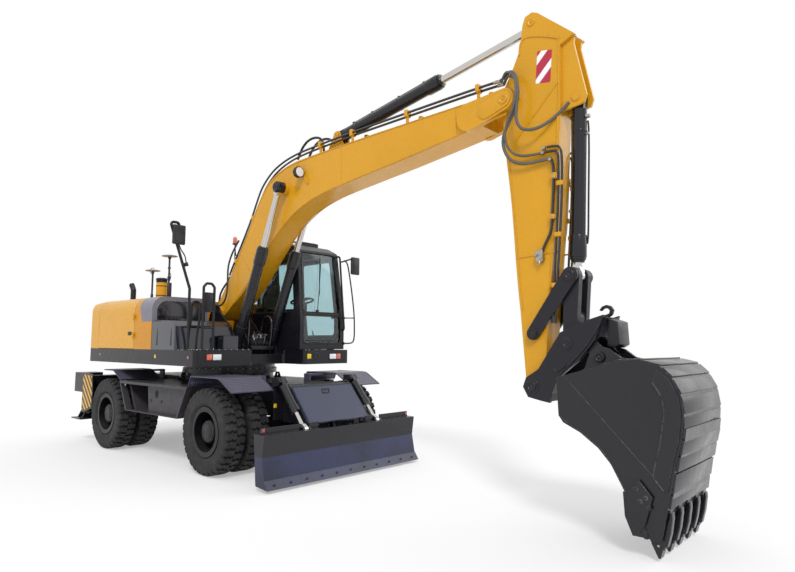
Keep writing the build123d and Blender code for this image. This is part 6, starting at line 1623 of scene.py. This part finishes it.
class EXCAVATOR_OT_bucket(bpy.types.Operator):
    """Link caps, the coupler's cylinder, hook and rims, the bucket's wear strips and teeth"""
    bl_idname = "excavator.bucket"
    bl_label = "Bucket and coupler details"

    def execute(self, context):
        boss = [rod((x, 162, z), (x, 172, z), r, 40, 3)
                for x, z, r in ((5628, 2234, 66), (5246, 1708, 56))]
        finish_both([pin_cap(5628, 2234, 176, 48, 12), *boss], "link_pin_caps", "side_links", GEAR)
        finish_both([pin_cap(5595, 1616, 186, 44, 10)], "coupler_pin_caps", "bucket", GEAR)
        finish_both([pin_cap(5900, 1498, 200, 46, 10)], "bucket_pin_caps", "bucket", GEAR)
        body = [rod((5420, 0, 1392), (5600, 0, 1498), 40, 28, 5),
                rod((5590, 0, 1492), (5680, 0, 1545), 20, 20, 2),
                block((5400, -60, 1350), (5450, 60, 1420), 8)]
        finish(body, "coupler_cylinder", "bucket", GEAR)
        lock = [plate(strap_outline((5480, 1372), 26, (5560, 1420), 22), "Y", 187, 195, 3),
                bolt((5480, 195, 1372), "Y", 1, 11)]
        finish_both(lock, "coupler_lock_plates", "bucket", GEAR)
        bands = [((6034, 1441), (6190, 1484), 10), ((6204, 1486), (6352, 1489), 12),
                 ((6370, 1484), (6497, 1450), 12), ((6512, 1439), (6580, 1368), 12),
                 ((6592, 1350), (6641, 1248), 10), ((6647, 1226), (6660, 1104), 8),
                 ((6660, 1082), (6644, 930), 9), ((6640, 908), (6612, 806), 20),
                 ((6609, 786), (6584, 682), 20), ((6578, 662), (6550, 522), 19),
                 ((6545, 500), (6526, 404), 18)]
        strips = []
        for start, end, lift in bands:
            run = Vector((end[0] - start[0], end[1] - start[1])).normalized()
            out = Vector((-run.y, run.x))
            inner = [Vector(start) - out * 3, Vector(end) - out * 3]
            outer = [Vector(end) + out * lift, Vector(start) + out * (lift - 5)]
            strips.append(plate([tuple(p) for p in inner + outer], "Y", -486, 486, 2))
        finish(strips, "bucket_wear_strips", "bucket", BUCKET)
        side = plate([(6480, 1424), (6568, 1348), (6627, 1236), (6643, 1096), (6623, 916),
                      (6574, 732), (6528, 520), (6502, 525), (6420, 622), (6480, 860), (6521, 1100),
                      (6505, 1220), (6439, 1323)], "Y", 489, 500, 3)
        fold = weld([(5726, 491, 1334), (6409, 491, 637)], 5)
        inner = weld([(6439, 500, 1323), (6505, 500, 1220), (6521, 500, 1100), (6480, 500, 860),
                      (6420, 500, 622), (6502, 500, 525)], 4)
        rim = tube([(5668, 491, 1020), (5715, 491, 972), (5855, 491, 902), (6006, 491, 795),
                    (6108, 491, 682), (6232, 491, 450)], 6, 3, 2)
        cutter = plate([(6323, 588), (6236, 496), (6230, 270), (6312, 188), (6362, 260),
                        (6425, 470)], "Y", 505, 519, 6, 3)
        heads = [bolt((x, 518, z), "Y", 1, 13)
                 for x, z in ((6300, 520), (6372, 462), (6330, 430), (6396, 390))]
        finish_both([side, fold, inner, rim, cutter, *heads], "bucket_side_plates", "bucket",
                    BUCKET)
        adapters = [plate([(6462, 118), (6484, 232), (6528, 372), (6540, 372), (6543, 330),
                           (6526, 216), (6498, 112)], "Y", y - 33, y + 33, 9, 3)
                    for y in TOOTH_ROWS]
        finish(adapters, "tooth_adapters", "bucket", BUCKET)
        hook = plate([(5820, 1828), (5905, 1838), (5950, 1872), (5962, 1912), (5938, 1948),
                      (5895, 1960), (5855, 1945), (5830, 1912), (5848, 1904), (5874, 1926),
                      (5904, 1930), (5926, 1910), (5920, 1884), (5890, 1872), (5822, 1862)], "Y",
                     -15, 15, 5, 3)
        stop = plate([(5938, 1596), (5950, 1836), (6036, 1806), (6048, 1608), (6000, 1580)], "Y",
                     -118, 118, 8, 3)
        rims = tube([(5918, 187, 1800), (5816, 187, 1632), (5690, 187, 1490), (5542, 187, 1360),
                     (5462, 187, 1250), (5424, 187, 1130)], 9, 3, 2)
        bosses = [rod((x, 184, z), (x, 192, z), r, 40, 3)
                  for x, z, r in ((5240, 1219, 74), (5595, 1616, 62))]
        finish([hook, stop, both(join(rims, *bosses))], "coupler_hook_and_rims", "bucket", GEAR)
        tooth_pins = [rod((6440, y - 44, 118), (6440, y + 44, 118), 9, 14, 1) for y in TOOTH_ROWS]
        finish(tooth_pins, "tooth_pins", "bucket", ZINC)
        finish(block((6340, -486, 150), (6365, 486, 176), 4), "bucket_lip", "bucket", BUCKET)
        return {"FINISHED"}


# ---------------------------------------------------------------- stage
def seen_directly(tree):
    """1 for camera, mirror and glass rays, 0 for the rays that light the object."""
    rays = put(tree, "ShaderNodeLightPath").outputs
    return maths(tree, "ADD", maths(tree, "ADD", rays["Is Camera Ray"], rays["Is Glossy Ray"]),
                 rays["Is Transmission Ray"])


def add_floor():
    """Plain pale floor whose far part turns white, with the object's shadow near it."""
    deselect()
    bpy.ops.mesh.primitive_circle_add(vertices=96, radius=settings().floor_radius, fill_type="NGON",
                                      location=(0, 0, 0))
    floor = bpy.context.object
    floor.name = floor.data.name = "stage_floor"
    seat(floor)
    material = bpy.data.materials.new("Plain_pale_floor")
    material.use_nodes = True
    tree = material.node_tree
    shader = tree.nodes["Principled BSDF"]
    fill(tree, shader,
         {"Base Color": linear("#f2f1ef"), "Roughness": 0.95, "Specular IOR Level": 0.1})
    seen = seen_directly(tree)
    place = put(tree, "ShaderNodeTexCoord").outputs["Object"]
    far = put(tree, "ShaderNodeVectorMath", {0: place}, operation="LENGTH").outputs["Value"]
    white = put(tree, "ShaderNodeEmission",
                {"Color": (1, 1, 1, 1), "Strength": 1.0}).outputs["Emission"]
    factor = maths(tree, "MULTIPLY", seen, ramp(tree, far, 5.0, 11.0, 0.35, 1.0))
    blend = put(tree, "ShaderNodeMixShader", {0: factor, 1: shader.outputs["BSDF"], 2: white})
    tree.links.new(blend.outputs["Shader"], tree.nodes["Material Output"].inputs["Surface"])
    floor.data.materials.append(material)


def add_world():
    """Even studio light; camera, mirror and glass rays see plain white."""
    world = bpy.data.worlds.new("Studio")
    bpy.context.scene.world = world
    world.use_nodes = True
    tree = world.node_tree
    tree.nodes.clear()
    seen = seen_directly(tree)
    place = put(tree, "ShaderNodeTexCoord").outputs["Generated"]
    level = ramp(tree, axes(tree, place)["Z"], -0.1, 0.9, 0.55, 0.95)
    lit = put(tree, "ShaderNodeBackground",
              {"Color": linear("#f4f6fb"), "Strength": level}).outputs["Background"]
    plain = put(tree, "ShaderNodeBackground",
                {"Color": (1, 1, 1, 1), "Strength": 1.0}).outputs["Background"]
    both_lights = put(tree, "ShaderNodeMixShader", {0: seen, 1: lit, 2: plain})
    put(tree, "ShaderNodeOutputWorld", {"Surface": both_lights.outputs["Shader"]})


def add_lamp(name, kind, place, aim, **values):
    """A lamp at a place, turned to its aim."""
    data = bpy.data.lights.new(name, kind)
    for key, value in values.items():
        setattr(data, key, value)
    lamp = bpy.data.objects.new(name, data)
    bpy.context.collection.objects.link(lamp)
    lamp.location = place
    lamp.rotation_euler = (Vector(aim) - Vector(place)).to_track_quat("-Z", "Y").to_euler()
    return lamp


def add_camera():
    """Camera low at the right front corner, looking slightly up."""
    data = bpy.data.cameras.new("Camera")
    data.lens, data.sensor_width, data.clip_end = CAMERA_LENS, 36, 300
    camera = bpy.data.objects.new("Camera", data)
    bpy.context.collection.objects.link(camera)
    yaw, pitch, roll = CAMERA_TURN
    look = Vector((cos(pitch) * cos(yaw), cos(pitch) * sin(yaw), sin(pitch)))
    right = look.cross(Vector((0, 0, 1))).normalized()
    up = right.cross(look)
    right, up = right * cos(roll) + up * sin(roll), up * cos(roll) - right * sin(roll)
    matrix = Matrix((right, up, -look)).transposed().to_4x4()
    matrix.translation = at(*CAMERA_PLACE)
    camera.matrix_world = matrix
    bpy.context.scene.camera = camera


class EXCAVATOR_OT_stage(bpy.types.Operator):
    """Floor, even light, lamps and camera"""
    bl_idname = "excavator.stage"
    bl_label = "Stage"

    def execute(self, context):
        add_floor()
        add_world()
        add_lamp("Key", "SUN", (9, -9, 12), (0, 0, 1), energy=1.7, angle=radians(14))
        add_lamp("Fill", "SUN", (6, 10, 7), (0, 0, 1), energy=0.5, angle=radians(40))
        context.scene.view_settings.view_transform = "Standard"
        add_camera()
        return {"FINISHED"}


class EXCAVATOR_OT_finishes(bpy.types.Operator):
    """Materials of the machine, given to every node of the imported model"""
    bl_idname = "excavator.finishes"
    bl_label = "Finishes"

    def execute(self, context):
        make_finishes(settings())
        for material, nodes in NODE_FINISHES.items():
            for node in nodes.split():
                clothe(node, material)
        return {"FINISHED"}


MAKERS = (EXCAVATOR_OT_stage, EXCAVATOR_OT_finishes, EXCAVATOR_OT_tyres, EXCAVATOR_OT_hubs,
          EXCAVATOR_OT_chassis, EXCAVATOR_OT_toolbox, EXCAVATOR_OT_blade, EXCAVATOR_OT_outriggers,
          EXCAVATOR_OT_deck, EXCAVATOR_OT_housing, EXCAVATOR_OT_mirrors, EXCAVATOR_OT_cab,
          EXCAVATOR_OT_interior, EXCAVATOR_OT_seat, EXCAVATOR_OT_boom, EXCAVATOR_OT_arm,
          EXCAVATOR_OT_hoses, EXCAVATOR_OT_cylinders, EXCAVATOR_OT_valves, EXCAVATOR_OT_bucket)


class EXCAVATOR_PT_panel(bpy.types.Panel):
    """Sizes, colours and the steps that make the machine's pieces"""
    bl_idname = "EXCAVATOR_PT_panel"
    bl_label = "Excavator"
    bl_space_type = "VIEW_3D"
    bl_region_type = "UI"
    bl_category = "Excavator"

    def draw(self, context):
        column = self.layout.column(align=True)
        for name in ExcavatorSettings.__annotations__:
            column.prop(context.scene.excavator, name)
        for maker in MAKERS:
            self.layout.operator(maker.bl_idname)


CLASSES = (ExcavatorSettings, *MAKERS, EXCAVATOR_PT_panel)


def register():
    for cls in CLASSES:
        bpy.utils.register_class(cls)
    bpy.types.Scene.excavator = bpy.props.PointerProperty(type=ExcavatorSettings)


def unregister():
    del bpy.types.Scene.excavator
    for cls in reversed(CLASSES):
        bpy.utils.unregister_class(cls)


def main():
    """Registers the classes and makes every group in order."""
    register()
    for maker in MAKERS:
        group, step = maker.bl_idname.split(".")
        getattr(getattr(bpy.ops, group), step)()
    deselect()


if __name__ == "__main__":
    main()
